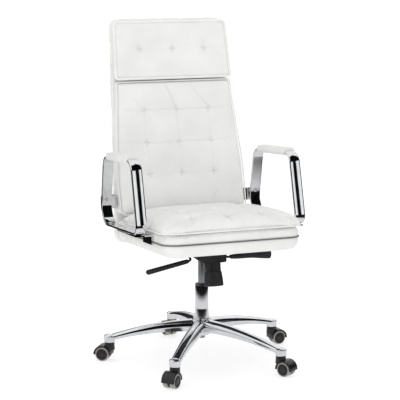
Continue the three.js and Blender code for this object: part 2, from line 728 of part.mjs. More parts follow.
const shellFrontY = (z) => shellRearY - shellThickness + (z - shellBottom) * Math.tan(shellLean);
const shellHalfAt = (z) => shellHalfBottom
  - (shellHalfBottom - shellHalfTop) * (z - shellBottom) / (shellTop - shellBottom);
const headrestTopY = shellFrontY(headrestTop) - headrestTopDepth + headrestProud;
const faceSlope = (headrestTopY - backFaceY) / (headrestTop - backCushionBottom);
const backFaceAt = (z) => backFaceY + (z - backCushionBottom) * faceSlope;

// A side outline crossed with a front outline: both roundings show in the solid.
function crossed(side, front) {
  return across(side, -300, 300).intersect(alongY(front, 0, 500));
}

function frontOutline(halfBottom, halfTop, low, high, lowRadius, highRadius) {
  return roundedOutline([
    { x: -halfBottom, y: low, r: lowRadius }, { x: halfBottom, y: low, r: lowRadius },
    { x: halfTop, y: high, r: highRadius }, { x: -halfTop, y: high, r: highRadius },
  ]);
}

function makeBack() {
  const shellSide = roundedOutline([
    { x: shellFrontY(shellBottom), y: shellBottom, r: 14 },
    { x: shellRearY, y: shellBottom, r: 14 },
    { x: shellFrontY(shellTop) + shellThickness, y: shellTop, r: 16 },
    { x: shellFrontY(shellTop), y: shellTop, r: 8 },
  ]);
  addPiece('back_shell', crossed(shellSide,
    frontOutline(shellHalfBottom, shellHalfTop, shellBottom, shellTop, shellCorner, 22)),
  whiteLeather, seatFrame);

  const cushionTop = headrestTop - headrestHeight - touch;
  const backSide = roundedOutline([
    { x: backFaceAt(backCushionBottom) + touch, y: backCushionBottom, r: 20 },
    { x: shellFrontY(backCushionBottom) - touch, y: backCushionBottom, r: 8 },
    { x: shellFrontY(cushionTop) - touch, y: cushionTop, r: 4 },
    { x: backFaceAt(cushionTop), y: cushionTop, r: 16 },
  ]);
  addPiece('back_cushion', crossed(backSide,
    frontOutline(backHalfBottom, backHalfTop, backCushionBottom, cushionTop, 24, 12)),
  whiteLeather, seatFrame);

  const headLow = cushionTop + touch;
  const headSide = roundedOutline([
    { x: backFaceAt(headLow) - headrestProud, y: headLow, r: 16 },
    { x: shellFrontY(headLow) - touch, y: headLow, r: 4 },
    { x: shellFrontY(headrestTop) - touch, y: headrestTop, r: 12 },
    { x: backFaceAt(headrestTop) - headrestProud, y: headrestTop, r: 20 },
  ]);
  const headHalf = backHalfTop - headrestStep;
  addPiece('headrest_cushion', crossed(headSide,
    frontOutline(headHalf, headHalf - headrestTaper, headLow, headrestTop, 14, 18)),
  whiteLeather, seatFrame);
}

// ---------------------------------------------------------------- arms

// The loop's outline in (y, z), moved in from its outer face by an inset.
function armOutline(inset) {
  const low = armBottomZ + inset;
  const high = armBottomZ + armHeight - inset;
  const frontLean = (armTopFront - armBottomFront) / armHeight;
  const rearLean = (armBottomRear - armTopRear) / armHeight;
  const frontY = (z) => armBottomFront + (z - armBottomZ) * frontLean + inset * Math.hypot(1, frontLean);
  const rearY = (z) => armBottomRear - (z - armBottomZ) * rearLean - inset * Math.hypot(1, rearLean);
  return roundedOutline([
    { x: frontY(low), y: low, r: armFrontRadius - inset }, { x: rearY(low), y: low, r: armRearRadius - inset },
    { x: rearY(high), y: high, r: armTopRadius - inset }, { x: frontY(high), y: high, r: armTopRadius - inset },
  ]);
}

function makeArms() {
  const half = armBarWidth / 2;
  const middle = (armTopFront + armTopRear) / 2;
  const top = armBottomZ + armHeight;
  const rearSlope = (armBottomRear - armTopRear) / armHeight;
  for (const [name, sign] of [['left', -1], ['right', 1]]) {
    const x = sign * armSpacing / 2;
    const loop = across(armOutline(0), x - half, x + half, 2, 7)
      .subtract(across(armOutline(armBarThickness), x - half - reach, x + half + reach, 0, 7));
    addPiece(`arm_loop_${name}`, loop, chrome, seatFrame);

    const padShape = roundedOutline([
      { x: middle - armPadLength / 2, y: top + touch, r: 2 },
      { x: middle - armPadLength / 2 + armPadEnd, y: top + touch + armPadThickness, r: armPadEnd - 1 },
      { x: middle + armPadLength / 2 - armPadEnd, y: top + touch + armPadThickness, r: armPadEnd - 1 },
      { x: middle + armPadLength / 2, y: top + touch, r: 2 },
    ]);
    addPiece(`arm_pad_${name}`, across(padShape, x - half - 1, x + half + 1), whiteLeather, seatFrame);

    // An angle from the seat pad's side to the underside of the bottom bar.
    const inner = sign * (padHalfWidth + touch);
    const wall = sign * (padHalfWidth + touch + bracketThickness);
    const outer = sign * (armSpacing / 2 + half - 3);
    const [y0, y1] = [bracketY - bracketLength / 2, bracketY + bracketLength / 2];
    const shelfTop = armBottomZ - touch;
    const span = (a, b) => [Math.min(a, b), Math.max(a, b)];
    const upright = block(...span(inner, wall), y0, y1, shelfTop - bracketDrop, shelfTop);
    const shelf = block(...span(inner, outer), y0, y1, shelfTop - bracketThickness, shelfTop);
    addPiece(`arm_bracket_${name}`, upright.add(shelf), blackSteel, seatFrame);

    // A cranked plate from the shell's side, past the cushion, to the back of the rear upright.
    const low = backBracketZ - backBracketHeight / 2;
    const high = backBracketZ + backBracketHeight / 2;
    const uprightRear = armBottomRear - (low - armBottomZ) * rearSlope + touch;
    const shellFront = shellFrontY(high) + 4;
    const plateIn = backHalfBottom + touch;
    const plateOut = plateIn + bracketThickness;
    const seatOnShell = shellHalfAt(low) + touch;
    const side = (a, b) => span(sign * a, sign * b);
    const tab = block(...side(plateIn, armSpacing / 2 + half - 3), uprightRear,
      uprightRear + bracketThickness, low, high);
    const flange = block(...side(plateIn, plateOut), uprightRear, shellRearY - 6, low, high);
    const spacer = block(...side(seatOnShell, plateOut), shellFront, shellRearY - 6, low, high);
    addPiece(`back_bracket_${name}`, tab.add(flange).add(spacer), blackSteel, seatFrame);
  }
}

// ---------------------------------------------------------------- assembly

makeBase();
makeCasters();
makeColumn();
makeHousing();
makeTensioner();
makeLevers();
makeSeat();
makeBack();
makeArms();

seatFrame.position.z = seatPlateZ;
seatFrame.rotation.x = -seatPitch;
group.add(seatFrame);

// The origin is on the floor, under the middle of the chair's box.
const headReach = Math.cos(seatPitch) * (shellFrontY(shellTop) + shellThickness)
  + Math.sin(seatPitch) * shellTop;
group.position.y = -(headReach + Math.cos(seatPitch) * (seatFront - cushionFrontOverhang)) / 2;

export default group;
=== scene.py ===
import json
import math

import bpy
import numpy as np
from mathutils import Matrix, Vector


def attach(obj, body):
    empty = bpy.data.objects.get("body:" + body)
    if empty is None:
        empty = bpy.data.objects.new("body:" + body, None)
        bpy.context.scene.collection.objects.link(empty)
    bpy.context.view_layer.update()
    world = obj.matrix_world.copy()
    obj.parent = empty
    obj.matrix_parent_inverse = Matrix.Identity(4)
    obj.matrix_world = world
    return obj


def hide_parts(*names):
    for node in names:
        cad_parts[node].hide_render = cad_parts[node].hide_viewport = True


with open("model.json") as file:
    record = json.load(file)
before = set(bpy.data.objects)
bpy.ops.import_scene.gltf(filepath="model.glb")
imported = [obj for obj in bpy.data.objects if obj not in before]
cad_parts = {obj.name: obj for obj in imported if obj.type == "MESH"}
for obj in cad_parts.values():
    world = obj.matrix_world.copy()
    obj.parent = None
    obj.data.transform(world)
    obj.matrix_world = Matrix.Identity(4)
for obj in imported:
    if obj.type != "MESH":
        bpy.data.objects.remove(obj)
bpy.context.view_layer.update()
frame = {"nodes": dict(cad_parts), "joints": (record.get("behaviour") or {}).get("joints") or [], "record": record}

# High-backed swivel office chair in white leather, chrome and black plastic.
# Lengths are millimetres until a mesh is made. Most pieces of the seat are drawn in the seat's
# own frame: pitched up to the front, its zero on the seat plate's underside over the column.

MM = 0.001
JOINT = {joint["name"]: joint for joint in frame["joints"]}
COLUMN_Y = JOINT["seat_swivel"]["pos_m"][1] / MM
SEAT_PITCH = math.radians(5)
SEAT_RISE = 408

# ------------------------------------------------------------------ sizes

LEG_REACH = 320
LEG_UNDERSIDE = 67
LEG_END_RADIUS = 19
LEG_END_TOP = 87
LEG_DOME = 7
LEG_ROOT_TOP = 146
LEG_ROOT_DEPTH = 40
LEG_TIP_DEPTH = 17
LEG_BOW = 22
LEG_ROOT_WIDTH = 46
LEG_TIP_WIDTH = 31
LEG_WALL = 3
LEG_TIP_TOP = LEG_END_TOP + LEG_DOME / 2
HUB_RADIUS, HUB_BORE = 34, 20
HUB_LOW, HUB_FLOOR, HUB_HIGH = 94.3, 106, 148

WHEEL_RADIUS = 25
WHEEL_IN = 4.7
WHEEL_OUT = 22.3
TRAIL = 22
HOOD_RADIUS = 30.4
HOOD_HALF = 23.7
HOOD_TOP = 66.7
NECK_RADIUS, NECK_LOW = 17, 38

COLUMN_RADIUS = 23
COLUMN_FOOT = 92
COLUMN_TOP = 269
COLUMN_BORE = 21
FLARE = 2.5
BUSH_BORE, BUSH_RADIUS, BUSH_LIP = 12.9, 20.6, 22.6
BUSH_LOW, BUSH_TOP = 250, 272
TUBE_RADIUS, TUBE_BORE = 12.5, 10
TUBE_LOW, TUBE_HIGH = 186, 392
CLIP_BORE, CLIP_RADIUS = 5.4, 11.5
CLIP_LOW, CLIP_HIGH = 79.7, 91.7

KNOB_LEAN = math.radians(11)
KNOB_Y = -105
HOUSING_FLOOR = 374
CUP_RADIUS, CUP_WALL, CUP_LENGTH = 26.5, 2, 34
KNOB_LENGTH, KNOB_OVERLAP, KNOB_FLOOR = 50, 2, 15.7
KNOB_BORE, KNOB_SLEEVE = 5.4, 27.3
FLUTES, FLUTE_DEPTH = 24, 1.1
ROD_RADIUS = 4
PADDLE_LENGTH, PADDLE_THICK = 156, 15
HEIGHT_PADDLE, HEIGHT_PADDLE_DROP = (-62, -44, 365), math.radians(11)
LOCK_PADDLE = (82, -48, 369)

PAD_HALF = 238
SEAT_FRONT = -332
PAD_REAR = 226
PAD_LOW, PAD_HIGH = 2.8, 80
PIPING_Z = 46
CUSHION_HALF = 246
CUSHION_REAR = 150
CUSHION_LOW = 80.3
PAD_PLAN = (PAD_HALF, SEAT_FRONT, PAD_REAR, 58, 24)
CUSHION_PLAN = (CUSHION_HALF - 1, SEAT_FRONT - 0.5, CUSHION_REAR - 2, 58, 40)
SEAT_TUFT_Y = (-252, -132, -12)

SHELL_LOW, SHELL_HIGH = -8, 770
SHELL_ROLL = 16
SHELL_REAR_Y = 276
SHELL_THICK = 40
SHELL_LEAN = math.tan(math.radians(4.3))
SHELL_HALF_LOW, SHELL_HALF_HIGH = 236, 208
FACE_Y = 152
FACE_LEAN = math.tan(math.radians(10.2))
BACK_LOW, BACK_HIGH = 96, 569.7
BACK_HALF_LOW, BACK_HALF_HIGH = 238, 222
HEAD_LOW, HEAD_HIGH = 570, 776
HEAD_PROUD = 10
HEAD_HALF_LOW, HEAD_HALF_HIGH = 221, 213
TUFT_X = 120
BACK_TUFT_Z = (238, 348, 462)
HEAD_TUFT_Z = 676
FACE_SEAM, FACE_WELT, SHELL_SEAM = 0.82, 0.86, 0.86  # shares of the depth, from the rear or the front

ARM_X = 279
ARM_WIDTH = 38
ARM_THICK = 9
ARM_LOW, ARM_HIGH = 70, 316
ARM_CORNERS = ((-217, ARM_LOW), (219, ARM_LOW), (152, ARM_HIGH), (-171, ARM_HIGH))
ARM_RADII = (34, 70, 46, 46)
ARM_BOLT_Z = 158
ARM_PAD_LENGTH = 236

# ------------------------------------------------------------------ frames of reference


def leaned(points, angle, y, z):
    """Points turned about X by an angle in radians, then moved by y and z."""
    p = np.asarray(points, float)
    c, s = math.cos(angle), math.sin(angle)
    return np.stack([p[..., 0], p[..., 1] * c + p[..., 2] * s + y, z - p[..., 1] * s + p[..., 2] * c], -1)


def from_seat(points):
    """Seat-frame points in the row's frame: turned about X by the seat's pitch, then lifted."""
    return leaned(points, SEAT_PITCH, COLUMN_Y, SEAT_RISE)


def from_bolt(points):
    """Points drawn round Z, put on the leaning bolt's axis at the housing's floor."""
    return leaned(points, KNOB_LEAN, KNOB_Y + COLUMN_Y, HOUSING_FLOOR)


def from_column(points):
    """Points drawn round the column's axis, moved to where that axis stands."""
    return np.asarray(points, float) + (0, COLUMN_Y, 0)


def turned_about_z(points, angle):
    """Points turned about Z by an angle in radians."""
    p = np.asarray(points, float)
    c, s = math.cos(angle), math.sin(angle)
    return np.stack([p[..., 0] * c - p[..., 1] * s, p[..., 0] * s + p[..., 1] * c, p[..., 2]], -1)


# ------------------------------------------------------------------ outlines and surfaces


def filleted(points, radii, steps=6, closed=False, side=1):
    """A polyline whose corners are arcs: each arc is swung evenly between the two tangent points.

    Between arcs, a straight side gets side - 1 points of its own.
    """
    p = np.asarray(points, float)
    count = len(p)
    radii = np.broadcast_to(np.asarray(radii, float), (count,))
    stretches = []
    for i in range(count):
        if not closed and i in (0, count - 1):
            stretches.append(p[i:i + 1])
            continue
        back, ahead = p[i - 1] - p[i], p[(i + 1) % count] - p[i]
        room = 0.49 * min(np.linalg.norm(back), np.linalg.norm(ahead))
        back, ahead = back / np.linalg.norm(back), ahead / np.linalg.norm(ahead)
        half = math.acos(np.clip(back @ ahead, -1, 1)) / 2
        if half > math.pi / 2 - 1e-3:
            stretches.append(p[i:i + 1])
            continue
        setback = min(radii[i] / math.tan(half), room)
        radius = setback * math.tan(half)
        middle = (back + ahead) / np.linalg.norm(back + ahead)
        centre = p[i] + middle * radius / math.sin(half)
        swing = math.pi - 2 * half
        share = np.linspace(0, 1, steps)[:, None]
        first, last = p[i] + back * setback - centre, p[i] + ahead * setback - centre
        arc = (np.sin((1 - share) * swing) * first + np.sin(share * swing) * last) / math.sin(swing)
        stretches.append(centre + arc)
    line = []
    for i, stretch in enumerate(stretches):
        line.append(stretch)
        if side > 1 and (closed or i < count - 1):
            share = np.linspace(0, 1, side + 1)[1:-1, None]
            start, end = stretch[-1], stretches[(i + 1) % count][0]
            line.append(start + (end - start) * share)
    return np.vstack(line)


def surface(grid, along=False):
    """A grid of points (rows, columns, 3) whose columns join round.

    Rows join round too if along is true; otherwise each end is closed by a fan to its middle.
    """
    grid = np.asarray(grid, float)
    rows, columns = grid.shape[:2]
    index = np.arange(rows * columns).reshape(rows, columns)
    if along:
        index = np.vstack([index, index[:1]])
    index = np.hstack([index, index[:, :1]])
    quads = np.stack([index[:-1, :-1], index[1:, :-1], index[1:, 1:], index[:-1, 1:]], -1).reshape(-1, 4)
    faces = quads.tolist()
    points = grid.reshape(-1, 3)
    if not along:
        first, last = len(points), len(points) + 1
        points = np.vstack([points, grid[0].mean(0), grid[-1].mean(0)])
        low, high = index[0], index[-1]
        faces += np.stack([np.full(columns, first), low[:-1], low[1:]], -1).tolist()
        faces += np.stack([np.full(columns, last), high[1:], high[:-1]], -1).tolist()
    return facing_out(points, faces)


def facing_out(points, faces):
    """The same closed surface, turned over if the volume that it holds comes out negative."""
    volume = 0.0
    for count in (3, 4):
        corner = points[np.array([face for face in faces if len(face) == count], int).reshape(-1, count)]
        for i in range(1, count - 1):
            volume += (corner[:, 0] * np.cross(corner[:, i], corner[:, i + 1])).sum()
    if volume < 0:
        faces = [face[::-1] for face in faces]
    return points, faces


def turned(profile, segments=48, ring=False, flutes=None):
    """A profile of (radius, height) carried round Z.

    A ring's profile closes on itself. Flutes, (count, depth, low, high, least), pull in the points
    outside the least radius, between two heights, by a depth that rises and falls with the angle.
    """
    profile = np.asarray(profile, float)
    angle = np.linspace(0, 2 * math.pi, segments, endpoint=False)
    radius = np.repeat(profile[:, :1], segments, 1)
    height = np.repeat(profile[:, 1:], segments, 1)
    if flutes:
        count, depth, low, high, least = flutes
        fade = np.clip(np.minimum(height - low, high - height) / 3, 0, 1) * (radius > least)
        radius = radius - depth * fade * (0.5 - 0.5 * np.cos(count * angle))
    grid = np.stack([radius * np.cos(angle), radius * np.sin(angle), height], -1)
    return surface(grid, along=ring)


def swept(path, section, up, closed=False):
    """A section (sideways, upwards) carried along a path, turned to it and square to its run.

    Up is the direction kept nearest to the section's second axis, one for all or one per point.
    """
    path = np.asarray(path, float)
    section = np.asarray(section, float)
    if closed:
        run = np.roll(path, -1, 0) - np.roll(path, 1, 0)
    else:
        run = np.gradient(path, axis=0)
    run /= np.linalg.norm(run, axis=1)[:, None]
    up = np.broadcast_to(np.asarray(up, float), path.shape)
    sideways = np.cross(run, up)
    sideways /= np.linalg.norm(sideways, axis=1)[:, None]
    upwards = np.cross(sideways, run)
    if section.ndim == 2:
        section = np.repeat(section[None], len(path), 0)
    grid = path[:, None] + section[..., :1] * sideways[:, None] + section[..., 1:] * upwards[:, None]
    return surface(grid, along=closed)


def circle(radius, sides=14):
    angle = np.linspace(0, 2 * math.pi, sides, endpoint=False)
    return np.stack([radius * np.cos(angle), radius * np.sin(angle)], -1)


def boxy(value, power):
    """A sine or cosine flattened towards a square's: its size raised to a power, its sign kept."""
    return np.sign(value) * np.abs(value) ** power


def rounded_box(half_x, half_y, half_z, radius, steps=4):
    """A block with every edge rounded: a rounded rectangle whose inset follows a quarter circle."""
    turns = np.linspace(0, math.pi / 2, steps)
    rings = [(radius * (1 - math.sin(t)), -half_z + radius * (1 - math.cos(t))) for t in turns]
    rings += [(inset, -z) for inset, z in rings[::-1]]
    grid = []
    for inset, z in rings:
        corners = np.array([(-1, -1), (1, -1), (1, 1), (-1, 1)]) * (half_x - inset, half_y - inset)
        line = filleted(corners, max(radius - inset, 0.3), 5, closed=True)
        grid.append(np.column_stack([line, np.full(len(line), z)]))
    return surface(grid)


def screw_head(radius, height):
    """A domed screw head on Z with a hexagonal socket cut into it."""
    profile = [(0.01, 0), (radius, 0), (radius, height * 0.35), (radius * 0.86, height * 0.78),
               (radius * 0.62, height), (radius * 0.5, height)]
    line = filleted(profile, 0.8, 3)
    dome = np.vstack([line, [(radius * 0.46, height * 0.35), (0.01, height * 0.35)]])
    angle = np.linspace(0, 2 * math.pi, 24, endpoint=False)
    hexagon = math.cos(math.pi / 6) / np.cos((angle % (math.pi / 3)) - math.pi / 6)
    grid = np.stack([dome[:, :1] * np.cos(angle), dome[:, :1] * np.sin(angle),
                     np.repeat(dome[:, 1:], 24, 1)], -1)
    grid[-2:, :, :2] *= hexagon[None, :, None]
    return surface(grid)


def moved(part, change):
    """A part with its points passed through a function of position."""
    points, faces = part
    return facing_out(change(np.asarray(points, float)), faces)


def outline(half_low, half_high, low, high, r_low, r_high, inset=0.0, steps=8, side=6):
    """A rounded four-cornered outline, its sides leaning in or out, drawn inwards by an inset."""
    lean = (half_high - half_low) / (high - low)
    low, high = low + inset, high - inset
    at = lambda z: half_low + (z - low + inset) * lean - inset
    corners = [(-at(low), low), (at(low), low), (at(high), high), (-at(high), high)]
    radii = [max(r_low - inset, 1)] * 2 + [max(r_high - inset, 1)] * 2
    return filleted(corners, radii, steps, closed=True, side=side)


# ------------------------------------------------------------------ meshes


def mesh_object(name, parts):
    """One mesh from several closed surfaces, in metres; each part may name a material's place."""
    points, faces, materials = [], [], []
    start = 0
    for part in parts:
        spots, polygons = part[0], part[1]
        points.append(np.asarray(spots) * MM)
        faces += [[start + i for i in polygon] for polygon in polygons]
        materials += [part[2] if len(part) > 2 else 0] * len(polygons)
        start += len(spots)
    mesh = bpy.data.meshes.new(name)
    mesh.from_pydata(np.vstack(points).tolist(), [], faces)
    mesh.polygons.foreach_set("material_index", materials)
    mesh.polygons.foreach_set("use_smooth", [True] * len(mesh.polygons))
    mesh.set_sharp_from_angle(angle=math.radians(38))
    mesh.update()
    made = bpy.data.objects.new(name, mesh)
    bpy.context.scene.collection.objects.link(made)
    return made


def piece(name, parts, materials, body, nodes=()):
    """A finished piece of the chair: its mesh, finishes, body and the solids it stands for."""
    made = mesh_object(name, parts)
    for material in materials:
        made.data.materials.append(material)
    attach(made, body)
    if nodes:
        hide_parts(*nodes)
    return made


# ------------------------------------------------------------------ materials


def linear(code):
    """An sRGB hex colour as linear red, green, blue and alpha."""
    parts = [int(code[i:i + 2], 16) / 255 for i in (1, 3, 5)]
    return tuple(c / 12.92 if c <= 0.04045 else ((c + 0.055) / 1.055) ** 2.4 for c in parts) + (1,)


def node(tree, kind, inputs=None, **settings):
    """Adds a shader node, sets it, and links or fills its inputs."""
    made = tree.nodes.new("ShaderNode" + kind)
    for key, value in settings.items():
        setattr(made, key, value)
    for key, value in (inputs or {}).items():
        if isinstance(value, bpy.types.NodeSocket):
            tree.links.new(value, made.inputs[key])
        else:
            made.inputs[key].default_value = value
    return made


def new_material(name, **sockets):
    """A material with a Principled shader whose fixed values sit on its own sockets."""
    made = bpy.data.materials.new(name)
    made.use_nodes = True
    tree = made.node_tree
    shader = tree.nodes["Principled BSDF"]
    for key, value in sockets.items():
        shader.inputs[key.replace("_", " ")].default_value = value
    place = node(tree, "TexCoord").outputs["Object"]
    return made, tree, shader, place


def ramp(tree, factor, stops):
    """A colour ramp through (position, hex colour) stops."""
    made = node(tree, "ValToRGB", {"Fac": factor})
    elements = made.color_ramp.elements
    while len(elements) < len(stops):
        elements.new(0.5)
    for element, (position, colour) in zip(elements, stops):
        element.position = position
        element.color = linear(colour)
    return made.outputs["Color"]


def span(tree, value, low, high, to_low, to_high):
    """A value carried from one range to another and clamped."""
    return node(tree, "MapRange", {"Value": value, "From Min": low, "From Max": high,
                                   "To Min": to_low, "To Max": to_high}).outputs["Result"]


def noise(tree, place, scale, detail=2, **more):
    """A noise texture's value."""
    return node(tree, "TexNoise", {"Vector": place, "Scale": scale, "Detail": detail, **more}).outputs["Fac"]


def toned(tree, shader, value, stops, rough, over=(0.3, 0.7)):
    """Turns a value into colour by ramp stops, and over a range of it into roughness."""
    tree.links.new(ramp(tree, value, stops), shader.inputs["Base Color"])
    tree.links.new(span(tree, value, *over, *rough), shader.inputs["Roughness"])


def raised(tree, shader, height, strength, distance, **under):
    """Turns a height into the shader's bump, on top of another bump if one is given."""
    bump = node(tree, "Bump", {"Height": height, "Strength": strength, "Distance": distance, **under})
    tree.links.new(bump.outputs["Normal"], shader.inputs["Normal"])


def pigmented_leather():
    """Corrected-grain leather with a white pigment coat: soft sheen over a pebbled grain.

    The eye sees a warm white, darkened by painted shade in its folds, broad dull patches where the coat was
    rubbed, pebbles about 1.4 mm across, drawn a little coarse so that they show, and fine stretch lines.
    """
    made, tree, shader, place = new_material("pigmented_white_leather", Specular_IOR_Level=0.42, IOR=1.5)
    patches = noise(tree, place, 9, 3, Roughness=0.55)
    warm = ramp(tree, patches, [(0.3, "#E4E4E3"), (0.7, "#ECECEA")])
    # Painted shade: a per-point attribute greys the leather's colour in creases, seams and tuft dimples.
    painted_fold_shade = node(tree, "Attribute", attribute_name="painted_fold_shade").outputs["Fac"]
    shade = ramp(tree, painted_fold_shade, [(0.0, "#FFFFFF"), (0.45, "#E2E1DE"), (1.0, "#A9A69E")])
    base = node(tree, "Mix", {0: 1.0, 6: warm, 7: shade}, data_type="RGBA", blend_type="MULTIPLY")
    tree.links.new(base.outputs[2], shader.inputs["Base Color"])
    tree.links.new(span(tree, patches, 0.3, 0.7, 0.42, 0.54), shader.inputs["Roughness"])
    pebble = node(tree, "TexVoronoi", {"Vector": place, "Scale": 700, "Smoothness": 0.7},
                  feature="SMOOTH_F1").outputs["Distance"]
    grain = node(tree, "Bump", {"Height": pebble, "Strength": 0.16, "Distance": 0.0006})
    lines = noise(tree, place, 130, 5, Roughness=0.6, Distortion=0.6)
    raised(tree, shader, lines, 0.22, 0.0015, Normal=grain.outputs["Normal"])
    return made


def edge_leather(name, colour, dark):
    """The same leather rolled thin round a cord: smoother, its tone drifting a little along it."""
    made, tree, shader, place = new_material(name, Specular_IOR_Level=0.4)
    toned(tree, shader, noise(tree, place, 25), [(0.35, dark), (0.65, colour)], (0.4, 0.55))
    grain = node(tree, "TexVoronoi", {"Vector": place, "Scale": 900}).outputs["Distance"]
    raised(tree, shader, grain, 0.15, 0.0005)
    return made


def polished_chrome():
    """Bright chrome plate over polished metal: a mirror, with faint swell and handling haze."""
    made, tree, shader, place = new_material("chrome_plate", Metallic=1.0)
    haze = noise(tree, place, 22, 4, Roughness=0.6)
    toned(tree, shader, haze, [(0.3, "#DADBDD"), (0.7, "#EBECEE")], (0.035, 0.1), (0.35, 0.75))
    raised(tree, shader, noise(tree, place, 14, 1), 0.06, 0.004)
    return made


def ground_steel(name="ground_steel", colour="#A5A6A8", dark="#85868A", low=0.22, high=0.38):
    """Centreless-ground steel: satin, with fine rings left by the wheel, drawn 1 mm apart."""
    made, tree, shader, place = new_material(name, Metallic=1.0)
    stretched = node(tree, "Mapping", {"Vector": place, "Scale": (40, 40, 900)}).outputs["Vector"]
    rings = noise(tree, stretched, 1, 3)
    toned(tree, shader, rings, [(0.3, dark), (0.7, colour)], (low, high))
    raised(tree, shader, rings, 0.08, 0.0004)
    return made


def powder_coat():
    """Black powder coat baked on pressed steel: an orange-peel skin with a low, broad shine."""
    made, tree, shader, place = new_material("black_powder_coat", Specular_IOR_Level=0.5)
    toned(tree, shader, noise(tree, place, 30, 3), [(0.3, "#1A1A1C"), (0.7, "#242427")], (0.34, 0.5))
    raised(tree, shader, noise(tree, place, 420), 0.3, 0.0006)
    return made


def moulded_plastic(name, colour, light, low, high, grit):
    """Injection-moulded nylon or polyurethane: a fine spark-eroded grit and slightly uneven gloss."""
    made, tree, shader, place = new_material(name, Specular_IOR_Level=0.5, IOR=1.5)
    toned(tree, shader, noise(tree, place, 45, 4), [(0.3, colour), (0.72, light)], (low, high))
    raised(tree, shader, noise(tree, place, grit), 0.18, 0.0004)
    return made


def birch_plywood():
    """Birch plywood: pale face grain running front to back, with the plies' dark glue lines."""
    made, tree, shader, place = new_material("birch_plywood")
    stretched = node(tree, "Mapping", {"Vector": place, "Scale": (90, 6, 60)}).outputs["Vector"]
    grain = noise(tree, stretched, 1, 5)
    toned(tree, shader, grain, [(0.3, "#B58F5E"), (0.7, "#D9BC8C")], (0.55, 0.75))
    raised(tree, shader, grain, 0.2, 0.0005)
    return made


LEATHER = pigmented_leather()
WELT = edge_leather("rolled_white_leather", "#EEEEEC", "#E9E9E7")
PIPING = edge_leather("grey_piping_leather", "#6E6C68", "#605E5A")
CHROME = polished_chrome()
STEEL = ground_steel()
SATIN = ground_steel("satin_chrome_tube", "#C4C6C8", "#A0A2A6", 0.3, 0.42)
COAT = powder_coat()
PLASTIC = moulded_plastic("gloss_black_nylon", "#0E0E10", "#19191B", 0.16, 0.3, 500)
GRIP = moulded_plastic("satin_black_nylon", "#1B1B1E", "#29292D", 0.34, 0.5, 700)
TREAD = moulded_plastic("grey_polyurethane_tread", "#8B8781", "#A39F98", 0.45, 0.6, 900)
PLYWOOD = birch_plywood()
COVER = moulded_plastic("black_nonwoven_cover", "#141416", "#222226", 0.75, 0.9, 1200)

# ------------------------------------------------------------------ base


def bowed(root, end, share):
    """A height along the leg: a curve from root to end whose one middle control stands higher."""
    control = (root + end) / 2 + LEG_BOW
    return (1 - share) ** 2 * root + 2 * share * (1 - share) * control + share ** 2 * end


def leg():
    """One leg along +X: a channel whose top is half a rounded oval, bowed between hub and end."""
    share = np.linspace(0, 1, 40)[:, None]
    start = HUB_RADIUS / 2
    top = bowed(LEG_ROOT_TOP, LEG_TIP_TOP, share)
    low = bowed(LEG_ROOT_TOP - LEG_ROOT_DEPTH, LEG_TIP_TOP - LEG_TIP_DEPTH, share)
    half = LEG_ROOT_WIDTH / 2 + (LEG_TIP_WIDTH - LEG_ROOT_WIDTH) / 2 * share
    angle = np.linspace(math.pi, 0, 25)[None]

    def arch(shrink):
        """Superellipse over the top, straight down the sides to the leg's foot."""
        y = np.sign(np.cos(angle)) * np.abs(np.cos(angle)) ** 0.75 * (half - shrink)
        crown = 0.66 * (top - low)
        z = top - shrink - crown + crown * np.sin(angle) ** 0.8
        return np.hstack([y[:, :1], y, y[:, -1:]]), np.hstack([low, z, low])

    (outer_y, outer_z), (inner_y, inner_z) = arch(0), arch(LEG_WALL)
    y = np.hstack([outer_y, inner_y[:, ::-1]])
    z = np.hstack([outer_z, inner_z[:, ::-1]])
    x = np.repeat(start + (LEG_REACH - start) * share, y.shape[1], 1)
    return surface(np.stack([x, y, z], -1))


def leg_end():
    """The domed boss that takes the caster's stem."""
    line = [(0, LEG_UNDERSIDE), (LEG_END_RADIUS, LEG_UNDERSIDE), (LEG_END_RADIUS, LEG_END_TOP)]
    angle = np.linspace(0.1, math.pi / 2, 8)
    dome = [(LEG_END_RADIUS * math.cos(a), LEG_END_TOP + LEG_DOME * math.sin(a)) for a in angle]
    profile = filleted(line, 1.5, 4)
    return turned(np.maximum(np.vstack([profile, dome]), (0.01, 0)), 48)


def rib():
    """A stiffening web under the leg, along its middle, as deep as the channel."""
    share = np.linspace(0, 1, 12)
    x = HUB_RADIUS + 4 + (LEG_REACH - HUB_RADIUS - LEG_END_RADIUS - 8) * share
    along = (x - HUB_RADIUS / 2) / (LEG_REACH - HUB_RADIUS / 2)
    low = bowed(LEG_ROOT_TOP - LEG_ROOT_DEPTH, LEG_TIP_TOP - LEG_TIP_DEPTH, along)
    depth = LEG_ROOT_DEPTH + (LEG_TIP_DEPTH - LEG_ROOT_DEPTH) * along - LEG_WALL
    path = np.stack([x, np.zeros_like(x), low + depth / 2], -1)
    section = [[(-1.3, 2 - d / 2), (1.3, 2 - d / 2), (1.6, d / 2), (-1.6, d / 2)] for d in depth]
    return swept(path, section, (0, 0, 1))


def build_base():
    hub = filleted([(0.01, HUB_LOW), (HUB_RADIUS, HUB_LOW), (HUB_RADIUS, HUB_HIGH), (HUB_BORE, HUB_HIGH),
                    (HUB_BORE, HUB_FLOOR), (0.01, HUB_FLOOR)], [0, 6, 6, 1, 1, 0])
    rim = filleted([(24, 147), (30.5, 147), (30.5, 153), (24, 153)], 2, 4, closed=True)
    parts = [moved(turned(hub), from_column), moved(turned(rim, ring=True), from_column)]
    for place in CASTERS:
        angle = place["leg"]
        for part in (leg(), rib(), moved(leg_end(), lambda p: p + (LEG_REACH, 0, 0))):
            parts.append(moved(part, lambda p, a=angle: from_column(turned_about_z(p, a))))
    piece("star_base_casting", parts, [CHROME], "base", ["star_base"])


